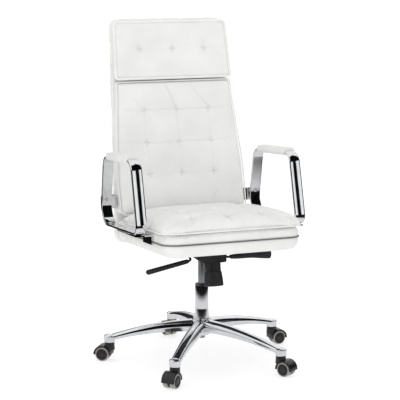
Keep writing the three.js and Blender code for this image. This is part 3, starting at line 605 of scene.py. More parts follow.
def caster_places():
    """Each caster's leg angle and heading, from where its swivel and its wheels' axle are."""
    places = []
    for name, joint in JOINT.items():
        if name.startswith("caster_") and name.endswith("_swivel"):
            x, y = joint["pos_m"][0] / MM, joint["pos_m"][1] / MM
            key = name[len("caster_"):-len("_swivel")]
            axis = JOINT[f"wheel_{key}_a_roll"]["axis"]
            places.append({"key": key, "x": x, "y": y, "leg": math.atan2(y - COLUMN_Y, x),
                           "heading": math.atan2(-axis[0], axis[1])})
    return places


CASTERS = caster_places()


def on_axle(points):
    """Points drawn round Z, laid along Y and set on the wheels' axle."""
    p = np.asarray(points, float)
    return np.stack([p[..., 0] + TRAIL, -p[..., 2], p[..., 1] + WHEEL_RADIUS], -1)


def hood():
    """A rim over the treads and a web between the wheels: a T section swung over the axle."""
    inner = HOOD_RADIUS - 4
    corners = [(inner, -HOOD_HALF), (HOOD_RADIUS, -HOOD_HALF), (HOOD_RADIUS, HOOD_HALF),
               (inner, HOOD_HALF), (inner, 4), (6, 4), (6, -4), (inner, -4)]
    radii = [1.5, 3.2, 3.2, 1.5, 1, 0.5, 0.5, 1]
    section = filleted(corners, radii, 5, closed=True)
    angle = np.linspace(math.radians(-4), math.radians(184), 44)[:, None]
    grid = np.stack([section[:, 0] * np.cos(angle), np.repeat(-section[None, :, 1], len(angle), 0),
                     section[:, 0] * np.sin(angle)], -1)
    return surface(grid + (TRAIL, 0, WHEEL_RADIUS))


def hood_neck():
    """The collar that turns on the stem, widening down to the hood."""
    profile = [(0.01, NECK_LOW), (NECK_RADIUS + 2, NECK_LOW), (NECK_RADIUS + 1, NECK_LOW + 10),
               (NECK_RADIUS, HOOD_TOP), (0.01, HOOD_TOP)]
    return turned(filleted(profile, [0, 4, 8, 2.5, 0], 6), 48)


def wheel(side):
    """Tread, disc and stepped cap of one wheel, as turned parts; side is -1 or 1 along the axle."""
    r, a, b = WHEEL_RADIUS, WHEEL_IN, WHEEL_OUT
    tread = filleted([(r - 5, a), (r - 1, a), (r, a + 1.5), (r, b - 3), (r - 2, b), (r - 5, b)],
                     [0.5, 1, 1, 3, 1, 0.5], 4, closed=True)
    disc = filleted([(0.01, a + 0.4), (r - 4.6, a + 0.4), (r - 4.6, b - 1), (r - 7, b - 1.2), (r - 8, b - 3),
                     (12, b - 3), (10, b - 0.6), (0.01, b)], [0, 0.6, 1, 0.8, 1, 2, 2, 0], 4)
    parts = [(*turned(tread, 56, ring=True), 1), (*turned(disc, 48), 0)]
    for k in range(6):
        spoke = moved(rounded_box(4.6, 1.4, 1.2, 0.6, 3), lambda p: p + (14.2, 0, b - 2.4))
        parts.append((*moved(spoke, lambda p: turned_about_z(p, k * math.pi / 3)), 0))
    return [(*moved(part[:2], lambda p: on_axle(p * (1, side, side))), part[2]) for part in parts]


def build_casters():
    for place in CASTERS:
        set_down = lambda p, q=place: turned_about_z(p, q["heading"]) + (q["x"], q["y"], 0)
        key = place["key"]
        piece(f"caster_{key}_hood_shell", [moved(part, set_down) for part in (hood(), hood_neck())],
              [PLASTIC], f"caster_{key}", [f"caster_{key}_hood"])
        for letter, side in (("a", 1), ("b", -1)):
            parts = [(*moved(part[:2], set_down), part[2]) for part in wheel(side)]
            piece(f"caster_{key}_wheel_{letter}_disc", parts, [PLASTIC, TREAD],
                  f"wheel_{key}_{letter}", [f"caster_{key}_wheel_{letter}"])


# ------------------------------------------------------------------ column and mechanism


def turned_piece(name, corners, radii, steps, segments, change, material, body, solid):
    """A piece turned from one closed profile with rounded corners, and set where it stands."""
    profile = filleted(corners, radii, steps, closed=True)
    part = moved(turned(profile, segments, ring=True), change)
    piece(name, [part], [material], body, [solid])


def build_column():
    foot, shoulder = COLUMN_RADIUS + FLARE, COLUMN_TOP + 0.3
    turned_piece("column_sleeve", [(COLUMN_BORE, COLUMN_FOOT), (foot, COLUMN_FOOT), (foot, 152),
                                   (COLUMN_RADIUS, 186), (COLUMN_RADIUS, COLUMN_TOP),
                                   (COLUMN_BORE, COLUMN_TOP)],
                 [0.6, 1, 18, 30, 1.2, 0.6], 8, 72, from_column, CHROME, "base", "column_outer_tube")
    turned_piece("column_bush_collar", [(BUSH_BORE, BUSH_LOW), (BUSH_RADIUS, BUSH_LOW), (BUSH_RADIUS, shoulder),
                                        (BUSH_LIP, shoulder), (BUSH_LIP, BUSH_TOP), (BUSH_BORE, BUSH_TOP)],
                 [0.4, 0.4, 0.3, 0.4, 1.4, 0.5], 4, 64, from_column, GRIP, "base",
                 "column_guide_bush")
    turned_piece("pressure_tube_satin", [(TUBE_BORE, TUBE_LOW), (TUBE_RADIUS, TUBE_LOW),
                                         (TUBE_RADIUS, TUBE_HIGH), (TUBE_BORE, TUBE_HIGH)],
                 0.6, 3, 64, from_column, SATIN, "lift", "pressure_tube")
    turned_piece("column_clip_ring", [(CLIP_BORE, CLIP_LOW), (CLIP_RADIUS, CLIP_LOW),
                                      (CLIP_RADIUS, CLIP_HIGH), (CLIP_BORE, CLIP_HIGH)],
                 1.4, 4, 40, from_column, STEEL, "column_core", "column_retaining_clip")


def build_tensioner():
    """The spring's cup, and the fluted knob that telescopes over it."""
    cup_low = -CUP_RADIUS * math.sin(KNOB_LEAN) - CUP_LENGTH
    cup_bore = CUP_RADIUS - CUP_WALL
    turned_piece("spring_cup_pressing", [(cup_bore, cup_low), (CUP_RADIUS, cup_low), (CUP_RADIUS, -0.4),
                                         (cup_bore, -0.4)],
                 0.7, 4, 64, from_bolt, COAT, "lift", "spring_cup")
    high = cup_low + KNOB_OVERLAP
    low = high - KNOB_LENGTH
    profile = filleted([(KNOB_BORE, low), (12, low), (14, low + 2.5), (28, low + 1), (32.5, low + 3),
                        (31.4, low + 24), (28.7, high - 4), (28.7, high), (KNOB_SLEEVE, high),
                        (KNOB_SLEEVE, low + KNOB_FLOOR), (KNOB_BORE, low + KNOB_FLOOR)],
                       [0.5, 1, 1, 4, 3, 20, 2, 0.5, 0.5, 2, 0.5], 5, closed=True)
    flutes = (FLUTES, FLUTE_DEPTH, low + 3, low + 30, 28)
    grip = turned(profile, 8 * FLUTES, ring=True, flutes=flutes)
    piece("tension_knob_grip", [moved(grip, from_bolt)], [GRIP], "knob", ["tension_knob"])


def paddle(halves):
    """A lever's paddle along +X: rounded sections whose height follows halves from root to end."""
    share = np.concatenate([np.linspace(0, 0.96, 30), [0.98, 0.993, 1.0]])
    tall = np.interp(share, *zip(*halves))
    tall = np.convolve(np.pad(tall, 2, mode="edge"), np.ones(5) / 5, "valid")
    close = np.sqrt(np.clip(1 - np.clip((share - 0.955) / 0.045, 0, 1) ** 2, 0.03, 1))
    start = np.sqrt(np.clip(1 - np.clip((0.03 - share) / 0.03, 0, 1) ** 2, 0.2, 1))
    angle = np.linspace(0, 2 * math.pi, 32, endpoint=False)[None]
    z = (tall * close * start)[:, None] * boxy(np.sin(angle), 0.45)
    y = (PADDLE_THICK / 2 * close ** 0.4 * start)[:, None] * boxy(np.cos(angle), 0.45)
    x = np.repeat((PADDLE_LENGTH * share)[:, None], 32, 1)
    return surface(np.stack([x, y, z], -1))


def build_levers():
    """Bent rods with moulded paddles; the height lever's drops, the lock lever's stands on edge."""
    c, s = math.cos(HEIGHT_PADDLE_DROP), math.sin(HEIGHT_PADDLE_DROP)
    start, heading = np.array(HEIGHT_PADDLE, float), np.array([-c, 0, -s])
    pin_top = 400.3
    line = filleted([(7, 0, pin_top), (-10, 0, pin_top), (-28, 0, 394), (-54, 0, 381), start - heading * 8,
                     start + heading * 12], 12)
    to_left = lambda p: start + np.stack([-p[:, 0] * c + p[:, 2] * s, p[:, 1], -p[:, 0] * s - p[:, 2] * c], -1)
    flat = moved(paddle([(0, 6), (0.1, 7), (0.6, 7.6), (1, 8.2)]), to_left)
    build_lever("height_lever", line, (0, 0.5, 1), flat)
    right = np.array(LOCK_PADDLE, float)
    line = filleted([(14, -48, 389), (48, -48, 389), (62, -48, 383), right - (8, 0, 0), right + (12, 0, 0)], 10)
    upright = moved(paddle([(0, 5.5), (0.12, 8), (0.55, 9), (0.78, 14), (1, 17)]), lambda p: p + right)
    build_lever("lock_lever", line, (0, 1, 0), upright)


def build_lever(name, line, up, moulding):
    rod = swept(line, circle(ROD_RADIUS), up)
    piece(f"{name}_bent_rod", [moved(rod, from_column)], [COAT], name, [f"{name}_rod"])
    piece(f"{name}_moulding", [moved(moulding, from_column)], [GRIP], name,
          [f"{name}_paddle"])


def finish_solids():
    """The CAD solids whose shape is already right get their real finishes."""
    finishes = {"black_steel": COAT, "steel": STEEL, "black_plastic": GRIP, "plywood": PLYWOOD,
                "chrome": CHROME, "wheel_plastic": PLASTIC, "white_leather": LEATHER}
    for row in frame["record"]["subparts"]:
        solid = frame["nodes"][row["node"]]
        solid.data.materials.clear()
        bracket = row["node"].startswith(("arm_bracket", "back_bracket"))
        solid.data.materials.append(CHROME if bracket else finishes[row["material_slot"]])


# ------------------------------------------------------------------ padding

CLOTH_FRAMES = 16
PAD_VOXEL, CUSHION_VOXEL, SHELL_VOXEL = 6, 5, 8


def smooth_step(value, low, high):
    t = np.clip((value - low) / (high - low), 0, 1)
    return t * t * (3 - 2 * t)


def waves(points, scale, seed, octaves=3):
    """Soft, repeatable unevenness: sums of sine waves in fixed odd directions, about -1 to 1."""
    random = np.random.default_rng(seed)
    total = np.zeros(len(points))
    for octave in range(octaves):
        for _ in range(5):
            direction = random.normal(size=3)
            direction *= 2 * math.pi * 2 ** octave / (scale * np.linalg.norm(direction))
            total += np.sin(points @ direction + random.uniform(0, 2 * math.pi)) / 2 ** octave
    return total / (5 * 1.4)


def vertices(mesh):
    spots = np.empty(len(mesh.vertices) * 3)
    mesh.vertices.foreach_get("co", spots)
    return spots.reshape(-1, 3) / MM


def set_vertices(mesh, spots):
    mesh.vertices.foreach_set("co", (np.asarray(spots) * MM).ravel())
    mesh.update()


def normals(mesh):
    lines = np.empty(len(mesh.vertices) * 3)
    mesh.vertex_normals.foreach_get("vector", lines)
    return lines.reshape(-1, 3)


def bake_modifiers(made):
    """The object's mesh as its modifiers leave it."""
    graph = bpy.context.evaluated_depsgraph_get()
    done = bpy.data.meshes.new_from_object(made.evaluated_get(graph))
    old = made.data
    made.modifiers.clear()
    made.data = done
    bpy.data.meshes.remove(old)


def pad_form(name, section, ring_at, voxel):
    """A pad's first form, from its outline at each (inset, depth) of a section, and its points.

    It gets even quads of a voxel's size in millimetres, relaxed so that no steps show.
    """
    made = mesh_object(name, [surface([ring_at(inset, depth) for inset, depth in section])])
    modifier = made.modifiers.new("even", "REMESH")
    modifier.mode = "VOXEL"
    modifier.voxel_size = voxel * MM
    relaxed = made.modifiers.new("relaxed", "SMOOTH")
    relaxed.factor = 0.5
    relaxed.iterations = 8
    bake_modifiers(made)
    return made, vertices(made.data)


def swell(made, held, pressure, cap, slack):
    """Fills the pad: cloth under pressure with some points held, each point moving at most cap mm.

    Slack is how much longer the cloth is than its form, which puts wrinkles in it.
    """
    start = vertices(made.data)
    group = made.vertex_groups.new(name="held")
    steps = np.round(np.clip(held, 0, 1) * 10).astype(int)
    for step in range(1, 11):
        chosen = np.flatnonzero(steps == step)
        if len(chosen):
            group.add(chosen.tolist(), step / 10, "REPLACE")
    modifier = made.modifiers.new("filling", "CLOTH")
    cloth = modifier.settings
    cloth.quality = 6
    cloth.mass = 0.25
    cloth.air_damping = 4
    cloth.tension_stiffness = 20
    cloth.compression_stiffness = 12
    cloth.shear_stiffness = 8
    cloth.bending_stiffness = 0.6
    cloth.shrink_min = -slack
    cloth.use_pressure = True
    cloth.uniform_pressure_force = pressure
    cloth.vertex_group_mass = "held"
    cloth.effector_weights.gravity = 0
    modifier.collision_settings.use_self_collision = False
    modifier.collision_settings.use_collision = False
    modifier.point_cache.frame_start = 1
    modifier.point_cache.frame_end = CLOTH_FRAMES
    scene = bpy.context.scene
    for number in range(1, CLOTH_FRAMES + 1):
        scene.frame_set(number)
    graph = bpy.context.evaluated_depsgraph_get()
    filled = vertices(made.evaluated_get(graph).data)
    made.modifiers.clear()
    made.vertex_groups.clear()
    scene.frame_set(1)
    step = filled - start
    length = np.linalg.norm(step, axis=1)[:, None]
    reach = cap * np.tanh(length / cap)
    set_vertices(made.data, start + step * reach / np.maximum(length, 1e-9))


def filled(made, held, pressure, cap, slack):
    swell(made, held, pressure, cap, slack)
    modifier = made.modifiers.new("fine", "SUBSURF")
    modifier.levels = modifier.render_levels = 1
    bake_modifiers(made)
    return vertices(made.data), normals(made.data)


def pressed(made, spots, side, inwards, outwards):
    """Moves points along their normals: inwards at creases and seams, outwards where it ripples."""
    set_vertices(made.data, spots - side * inwards[:, None] + side * outwards[:, None])


def finish_pad(made, painted_fold_shade, solid):
    # These values are painted shade, stored per point and darkening the leather's colour in creases and seams.
    attribute = made.data.attributes.new("painted_fold_shade", "FLOAT", "POINT")
    attribute.data.foreach_set("value", np.clip(painted_fold_shade, 0, 1).astype(np.float32))
    set_vertices(made.data, from_seat(vertices(made.data)))
    made.data.polygons.foreach_set("use_smooth", [True] * len(made.data.polygons))
    made.data.materials.clear()
    made.data.materials.append(LEATHER)
    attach(made, "seat")
    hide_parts(solid)


def cord(name, line, radius, sides, up, material):
    """Piping or a rolled welt: a thin round cord on a closed line of the seat's frame."""
    loop = swept(from_seat(line), circle(radius, sides), up, closed=True)
    piece(name, [loop], [material], "seat")


def tuft_field(plan, tufts, reach):
    """How near each plan point is to a tuft, 1 on it, falling off as a bell of the given reach."""
    near = np.zeros(len(plan))
    for spot in tufts:
        gap = np.linalg.norm(plan - spot, axis=1)
        near = np.maximum(near, np.exp(-(gap / reach) ** 2))
    return near


def crease_field(plan, lines, width):
    """How near each plan point is to a crease: each is a stretch that wanders and fades at its ends."""
    near = np.zeros(len(plan))
    for number, (start, end, strength) in enumerate(lines):
        start, end = np.array(start, float), np.array(end, float)
        run = end - start
        length = np.linalg.norm(run)
        along = (plan - start) @ run / length ** 2
        off = (plan - start) @ np.array([-run[1], run[0]]) / length
        off = off + 1.6 * np.sin(along * 4.3 + number * 1.7) + 0.5 * np.sin(along * 11.1 + number * 2.9)
        fade = smooth_step(along, -0.04, 0.12) * (1 - smooth_step(along, 0.86, 1.04))
        near = np.maximum(near, strength * fade * np.exp(-(off / width) ** 2))
    return near


def crosses(tufts, arm):
    """The small gathered cross at each tuft."""
    lines = []
    for x, z in tufts:
        lines.append(((x - arm, z), (x + arm, z), 1.0))
        lines.append(((x, z - arm), (x, z + arm), 1.0))
    return lines


# ------------------------------------------------------------------ seat


def seat_ring(plan, inset, z):
    """A pad's level outline at a height: plan is its half width, front, rear and two corner radii."""
    half, front, rear, r_front, r_rear = plan
    line = outline(half, half, front, rear, r_front, r_rear, inset, steps=9, side=10)
    return np.column_stack([line, np.full(len(line), float(z))])


def build_seat_pad():
    """The pan's pad: sides that bulge over the piping, and a lower pan that curves in below it."""
    under = [(190, PAD_LOW), (60, PAD_LOW), (38, PAD_LOW), (22, PAD_LOW), (16, PAD_LOW + 3.5),
             (9, PAD_LOW + 13), (3.5, PAD_LOW + 28), (1.2, PIPING_Z - 1)]
    over = [(1.2, PIPING_Z + 1), (0.4, PIPING_Z + 8), (0.2, PIPING_Z + 16), (2.2, PIPING_Z + 25),
            (6.5, PAD_HIGH - 3), (14, PAD_HIGH), (190, PAD_HIGH)]
    made, spots = pad_form("seat_base_padding", under + over,
                           lambda inset, z: seat_ring(PAD_PLAN, inset, z), PAD_VOXEL)
    z = spots[:, 2]
    held = np.maximum(1 - smooth_step(np.abs(z - PIPING_Z), 2, 7), z < PAD_LOW + 12)
    held = np.maximum(held, z > PAD_HIGH - 1.5)
    spots, side = filled(made, held, 2.2, 5, 0.03)
    z = spots[:, 2]
    crease = np.exp(-((z - PIPING_Z) / 3.0) ** 2)
    ripple = waves(spots * (1, 1, 0.35), 38, 5) * smooth_step(z, PIPING_Z, PIPING_Z + 14)
    pressed(made, spots, side, 1.6 * crease, 0.7 * (ripple * smooth_step(PAD_HIGH - z, 0, 8)))
    # Painted shade along the crease at the piping, carried into the leather's colour.
    finish_pad(made, 0.5 * crease, "seat_base_pad")
    cord("seat_piping", seat_ring(PAD_PLAN, -0.2, PIPING_Z), 1.9, 10, (0, 0, 1), PIPING)
    cover = [(190, -1.4), (41, -1.4), (40, -1), (40, 1), (190, 1)]
    rings = [from_seat(seat_ring(PAD_PLAN, inset, PAD_LOW + up)) for inset, up in cover]
    piece("seat_dust_cover", [surface(rings)], [COVER], "seat")


def build_seat_cushion():
    """The loose-filled top cushion: a dome held down by tufts, rolling over a waterfall front."""
    low = CUSHION_LOW
    rise = [(190, 0.5), (24, 0.5), (10, 1), (4, 3), (0.5, 7), (0.5, 11), (4, 17), (11, 24), (22, 31),
            (40, 38), (70, 44), (110, 48), (190, 50)]
    made, spots = pad_form("seat_cushion_leather", [(inset, low + up) for inset, up in rise],
                           lambda inset, z: seat_ring(CUSHION_PLAN, inset, z), CUSHION_VOXEL)
    tufts = np.array([(x, y) for y in SEAT_TUFT_Y for x in (-TUFT_X, 0, TUFT_X)], float)
    upper = smooth_step(spots[:, 2], low + 22, low + 34)
    spots[:, 2] -= 5 * (tuft_field(spots[:, :2], tufts, 30) * upper)
    set_vertices(made.data, spots)
    held = np.maximum(tuft_field(spots[:, :2], tufts, 7) * upper, spots[:, 2] < low + 3)
    spots, side = filled(made, held, 3, 9, 0.025)
    plan, z = spots[:, :2], spots[:, 2]
    upper = smooth_step(z, low + 20, low + 34)
    front, middle, rear = SEAT_TUFT_Y
    lines = crosses(tufts, 17)
    for row in SEAT_TUFT_Y:
        lines += [((-TUFT_X, row), (0, row), 0.3), ((0, row), (TUFT_X, row), 0.3),
                  ((-205, row + 6), (-TUFT_X, row), 0.15), ((TUFT_X, row), (205, row + 8), 0.15)]
    for x in (-TUFT_X, 0, TUFT_X):
        lines += [((x, front), (x + 3, middle), 0.3), ((x, middle), (x - 4, rear), 0.3),
                  ((x, front), (x * 1.1 - 8, -318), 0.3)]
    crease = crease_field(plan, lines, 5.0) * upper
    seam = np.exp(-((z - low - 2.5) / 2.6) ** 2) * (z < low + 14)
    edge = 1 - smooth_step(z, low + 30, low + 42)
    ripple = waves(spots * (1, 0.8, 0.5), 90, 11) * (0.4 + 0.6 * edge) * smooth_step(z, low + 8, low + 20)
    pressed(made, spots, side, 2.2 * crease, 0.8 * ripple)
    # Painted shade: the tufts' dimples, the creases and the bottom seam darken the leather's colour.
    deep = 0.5 * tuft_field(plan, tufts, 5) * upper
    finish_pad(made, np.maximum(0.34 * crease, deep) + 0.25 * seam, "seat_cushion")
    cord("seat_cushion_welt", seat_ring(CUSHION_PLAN, 1, low + 3.2), 2.6, 10, (0, 0, 1), WELT)


# ------------------------------------------------------------------ back


def face_y(z, proud=0.0):
    return FACE_Y + (z - BACK_LOW) * FACE_LEAN - proud


def shell_front_y(z):
    return SHELL_REAR_Y - SHELL_THICK + (z - SHELL_LOW) * SHELL_LEAN


def waist(line, strength):
    """Widens a plan of (x, z) over the lower back and draws it in a little below the headrest."""
    z = line[:, 1]
    grow = 0.034 * np.exp(-((z - 255) / 120) ** 2) - 0.018 * np.exp(-((z - 520) / 55) ** 2)
    return line * np.stack([1 + strength * grow, np.ones(len(line))], -1)


def build_upright_pad(name, solid, plan, proud, tufts, lines, seed, cap, welt):
    """A cushion between the back's front face and the shell.

    It is drawn in plan (x, z), plan being the arguments of its outline, with a depth from 0 at the
    shell to 1 at the face, then carried to where those two leaning planes are. Its face's edge is
    a seam with a rolled welt on it.
    """
    def between_planes(z):
        """Where the pad's rear is at a height, and how thick the pad is there."""
        rear = shell_front_y(z) - 0.5
        return rear, face_y(z, proud) + 3 - rear

    def ring_at(inset, depth):
        line = waist(outline(*plan, inset, steps=7, side=14), 1 - proud / HEAD_PROUD)
        rear, thick = between_planes(line[:, 1])
        return np.stack([line[:, 0], rear + thick * depth, line[:, 1]], -1)

    section = [(120, 0), (6, 0), (3.5, 0.04), (3, 0.3), (3.5, 0.6), (6.5, 0.76), (8.5, 0.88), (14, 0.965),
               (28, 1.0), (60, 1.04), (100, 1.05)]
    made, spots = pad_form(name, section, ring_at, CUSHION_VOXEL)
    rear, thick = between_planes(spots[:, 2])
    depth = (spots[:, 1] - rear) / thick
    facing = smooth_step(depth, 0.8, 0.96)
    plan_spots = spots[:, (0, 2)]
    spots[:, 1] += 4.5 * tuft_field(plan_spots, tufts, 26) * facing
    set_vertices(made.data, spots)
    held = np.maximum(tuft_field(plan_spots, tufts, 7) * facing, depth < 0.06)
    held = np.maximum(held, 0.8 * (1 - smooth_step(np.abs(depth - FACE_SEAM) * thick, 1, 6)))
    spots, side = filled(made, held, 3, cap, 0.02)
    rear, thick = between_planes(spots[:, 2])
    depth = (spots[:, 1] - rear) / thick
    facing = smooth_step(-side[:, 1], 0.5, 0.85)
    plan_spots = spots[:, (0, 2)]
    crease = crease_field(plan_spots, lines + crosses(tufts, 13), 3.6) * facing
    seam = np.exp(-((depth - FACE_SEAM) * thick / 3.0) ** 2) * (1 - facing)
    ripple = waves(spots * (1, 0.6, 0.8), 110, seed) * facing
    pressed(made, spots, side, 1.9 * crease + 0.8 * seam, 0.8 * ripple)
    # Painted shade: the tufts' dimples, the creases and the face seam darken the leather's colour.
    deep = 0.4 * tuft_field(plan_spots, tufts, 5) * facing
    finish_pad(made, np.maximum(0.24 * crease, deep) + 0.15 * seam, solid)
    cord(name + "_welt", ring_at(welt + 1, FACE_WELT), welt, 12, (0, -1, 0), WELT)


def build_back():
    low, middle, high = BACK_TUFT_Z
    tufts = np.array([(x, z) for z in BACK_TUFT_Z for x in (-TUFT_X, 0, TUFT_X)], float)
    lines = []
    for z in BACK_TUFT_Z:
        pull = 0.12 if z == low else 0.5
        lines += [((-TUFT_X, z), (0, z), pull), ((0, z), (TUFT_X, z), pull),
                  ((-205, z + 5), (-TUFT_X, z), 0.6 * pull), ((TUFT_X, z), (200, z + 4), 0.5 * pull)]
    for x in (-TUFT_X, 0, TUFT_X):
        lines += [((x, low), (x + 3, middle), 0.18), ((x, middle), (x - 3, high), 0.4 if x == 0 else 0.22)]
    lines += [((0, high), (-38, BACK_HIGH - 14), 0.7), ((118, high), (54, BACK_HIGH - 12), 0.5),
              ((-TUFT_X, high), (-TUFT_X - 46, BACK_HIGH - 60), 0.25),
              ((100, BACK_LOW + 26), (124, low - 60), 0.4)]
    plan = (BACK_HALF_LOW - 2, BACK_HALF_HIGH - 2, BACK_LOW + 1, BACK_HIGH - 4, 24, 14)
    build_upright_pad("back_cushion_leather", "back_cushion", plan, 0, tufts, lines, 21, 9, 2.6)
    tufts = np.array([(x, HEAD_TUFT_Z) for x in (-TUFT_X, 0, TUFT_X)], float)
    lines = [((x, HEAD_TUFT_Z), (x + d, HEAD_TUFT_Z + 40), 0.3) for (x, _), d in zip(tufts, (-8, 6, -4))]
    plan = (HEAD_HALF_LOW - 1, HEAD_HALF_HIGH, HEAD_LOW - 3, HEAD_HIGH + 2, 16, 22)
    build_upright_pad("headrest_leather", "headrest_cushion", plan, HEAD_PROUD, tufts, lines, 31, 8, 4.6)


def build_back_shell():
    """The padded outer back: a rounded panel, softly crowned behind, with a seam round each edge."""
    def ring_at(inset, depth):
        line = outline(SHELL_HALF_LOW, SHELL_HALF_HIGH + 4, SHELL_LOW, SHELL_HIGH + SHELL_ROLL, 34, 26, inset,
                       steps=9, side=12)
        return np.stack([line[:, 0], shell_front_y(line[:, 1]) + SHELL_THICK * depth, line[:, 1]], -1)

    section = [(150, 0.0), (10, 0.0), (5, 0.03), (1.5, 0.16), (0.4, 0.35), (0.4, 0.6), (1.5, 0.78), (5, 0.92),
               (12, 0.97), (40, 0.99), (150, 1.0)]
    made, spots = pad_form("back_shell_leather", section, ring_at, SHELL_VOXEL)
    depth = (spots[:, 1] - shell_front_y(spots[:, 2])) / SHELL_THICK
    seam_gap = np.abs(depth - SHELL_SEAM) * SHELL_THICK
    spots, side = filled(made, np.maximum(depth < 0.1, 1 - smooth_step(seam_gap, 1, 5)), 2.5, 6, 0.03)
    depth = (spots[:, 1] - shell_front_y(spots[:, 2])) / SHELL_THICK
    seam = np.exp(-((depth - SHELL_SEAM) * SHELL_THICK / 2.6) ** 2) * (side[:, 1] < 0.93)
    across = np.exp(-((spots[:, 2] - BACK_TUFT_Z[2]) / 3.0) ** 2) * smooth_step(side[:, 1], 0.6, 0.9)
    pressed(made, spots, side, 1.2 * seam + 1.4 * across, 0.5 * waves(spots, 90, 41))
    # Painted shade in the edge seam and in the crease across the back, carried into the leather's colour.
    finish_pad(made, 0.35 * seam + 0.35 * across, "back_shell")


# ------------------------------------------------------------------ arms


def arm_path():
    """The loop's centre line in (y, z), half the bar's thickness inside its outer face."""
    corners = np.array(ARM_CORNERS, float)
    middle = corners.mean(0)
    lean = np.sign(middle - corners) * ARM_THICK / 2
    return filleted(corners + lean, np.array(ARM_RADII) - ARM_THICK / 2, 16, closed=True, side=8)


def arm_section():
    """The flat bar's section: a crowned outer face, small round edges, and a flat inner face."""
    half, thick = ARM_WIDTH / 2, ARM_THICK / 2
    share = np.linspace(-1, 1, 17)
    crown = np.stack([share * (half - 2.2), thick - 2.2 * share ** 2], -1)
    edge = filleted([(half - 2, thick - 2.4), (half, thick - 3.2), (half, -thick), (half - 4, -thick)],
                    [0.5, 1.2, 1.6, 0.5], 5)
    return np.vstack([crown, edge, (edge * (-1, 1))[::-1]])


def build_arms():
    path = arm_path()
    centre = path.mean(0)
    outwards = np.roll(path, -1, 0) - np.roll(path, 1, 0)
    outwards = np.stack([outwards[:, 1], -outwards[:, 0]], -1)
    outwards /= np.linalg.norm(outwards, axis=1)[:, None]
    outwards *= np.sign(((path - centre) * outwards).sum(1))[:, None]
    up = np.column_stack([np.zeros(len(path)), outwards])
    rear_lean = (ARM_CORNERS[1][0] - ARM_CORNERS[2][0]) / (ARM_HIGH - ARM_LOW)
    bolt_y = ARM_CORNERS[1][0] - (ARM_BOLT_Z - ARM_LOW) * rear_lean - ARM_THICK
    for name, sign in (("left", -1), ("right", 1)):
        line = np.column_stack([np.full(len(path), sign * ARM_X), path])
        loop = swept(line, arm_section(), up, closed=True)
        piece(f"arm_loop_{name}_bar", [moved(loop, from_seat)], [CHROME], "seat",
              [f"arm_loop_{name}"])
        lean = math.atan(rear_lean)

        def on_upright(p, x=sign * ARM_X):
            """Z turned to face forwards, square to the leaning upright."""
            y = -p[:, 2] * math.cos(lean) + p[:, 1] * math.sin(lean)
            z = -p[:, 2] * math.sin(lean) - p[:, 1] * math.cos(lean)
            return from_seat(np.stack([p[:, 0] + x, y + bolt_y, z + ARM_BOLT_Z], -1))

        piece(f"arm_bolt_{name}", [moved(screw_head(6, 3.4), on_upright)], [CHROME], "seat")
        build_arm_pad(name, sign)


def build_arm_pad(name, sign):
    """A leather sleeve round the top bar: a rounded section, fuller above, closing at its ends."""
    middle = (ARM_CORNERS[2][0] + ARM_CORNERS[3][0]) / 2
    share = np.linspace(-1, 1, 64)
    y = middle + ARM_PAD_LENGTH / 2 * share
    close = np.clip(1 - np.clip((np.abs(share) - 0.93) / 0.07, 0, 1) ** 2.5, 0, 1) ** 0.5
    angle = np.linspace(0, 2 * math.pi, 40, endpoint=False)
    bar_middle = ARM_HIGH - ARM_THICK / 2
    wide = (ARM_WIDTH / 2 + 0.6 + 3.6 * close)[:, None] * boxy(np.cos(angle), 0.55)
    above = (ARM_THICK / 2 + 0.5 + 11 * close)[:, None]
    below = (ARM_THICK / 2 + 0.5 + 6 * close)[:, None]
    tall = np.where(np.sin(angle) > 0, above, below) * boxy(np.sin(angle), 0.6)
    ripple = 0.35 * np.sin(y / 7.0)[:, None] * np.sin(3 * angle) + 0.3 * np.sin(y / 15.0 + 1)[:, None]
    x = sign * ARM_X + wide + ripple
    z = bar_middle + tall + ripple
    grid = np.stack([x, np.repeat(y[:, None], 40, 1), z], -1)
    made = mesh_object(f"arm_pad_{name}_leather", [surface(grid)])
    spots = vertices(made.data)
    # Painted shade in a thin band round the sleeve, just under the bar's middle.
    low_line_shade = np.exp(-((spots[:, 2] - bar_middle + 2) / 1.2) ** 2)
    finish_pad(made, 0.25 * low_line_shade, f"arm_pad_{name}")


# ------------------------------------------------------------------ studio

# The camera: degrees round and up, a lens in millimetres, and metres from and about its aim.
CAMERA_AZIMUTH, CAMERA_ELEVATION = -20, 10.2
CAMERA_DISTANCE, CAMERA_LENS = 4.87, 128.3
CAMERA_SHIFT, CAMERA_AIM = -0.006, 0.564


def floor_paint():
    """A matt white sweep that glows a little, so its shadows stay pale.

    Mirrors see it end a little over a metre out, with the dark studio beyond.
    """
    made, tree, shader, place = new_material("matt_white_floor", Roughness=0.7, Emission_Strength=0.62)
    shader.inputs["Base Color"].default_value = linear("#C4C4C4")
    shader.inputs["Specular IOR Level"].default_value = 0.1
    shader.inputs["Emission Color"].default_value = (1, 1, 1, 1)
    reach = node(tree, "VectorMath", {0: place}, operation="LENGTH").outputs["Value"]
    edge = span(tree, reach, 1.0, 1.5, 0.0, 1.0)
    sweep = ramp(tree, edge, [(0.0, "#E8E8EA"), (0.45, "#8A8683"), (0.75, "#2B2725"), (1.0, "#141416")])
    seen = node(tree, "Emission", {"Color": sweep, "Strength": 1.0})
    rays = node(tree, "LightPath").outputs
    mixed = node(tree, "MixShader", {0: rays["Is Glossy Ray"], 1: shader.outputs[0], 2: seen.outputs[0]})
    tree.links.new(mixed.outputs[0], tree.nodes["Material Output"].inputs["Surface"])
    return made


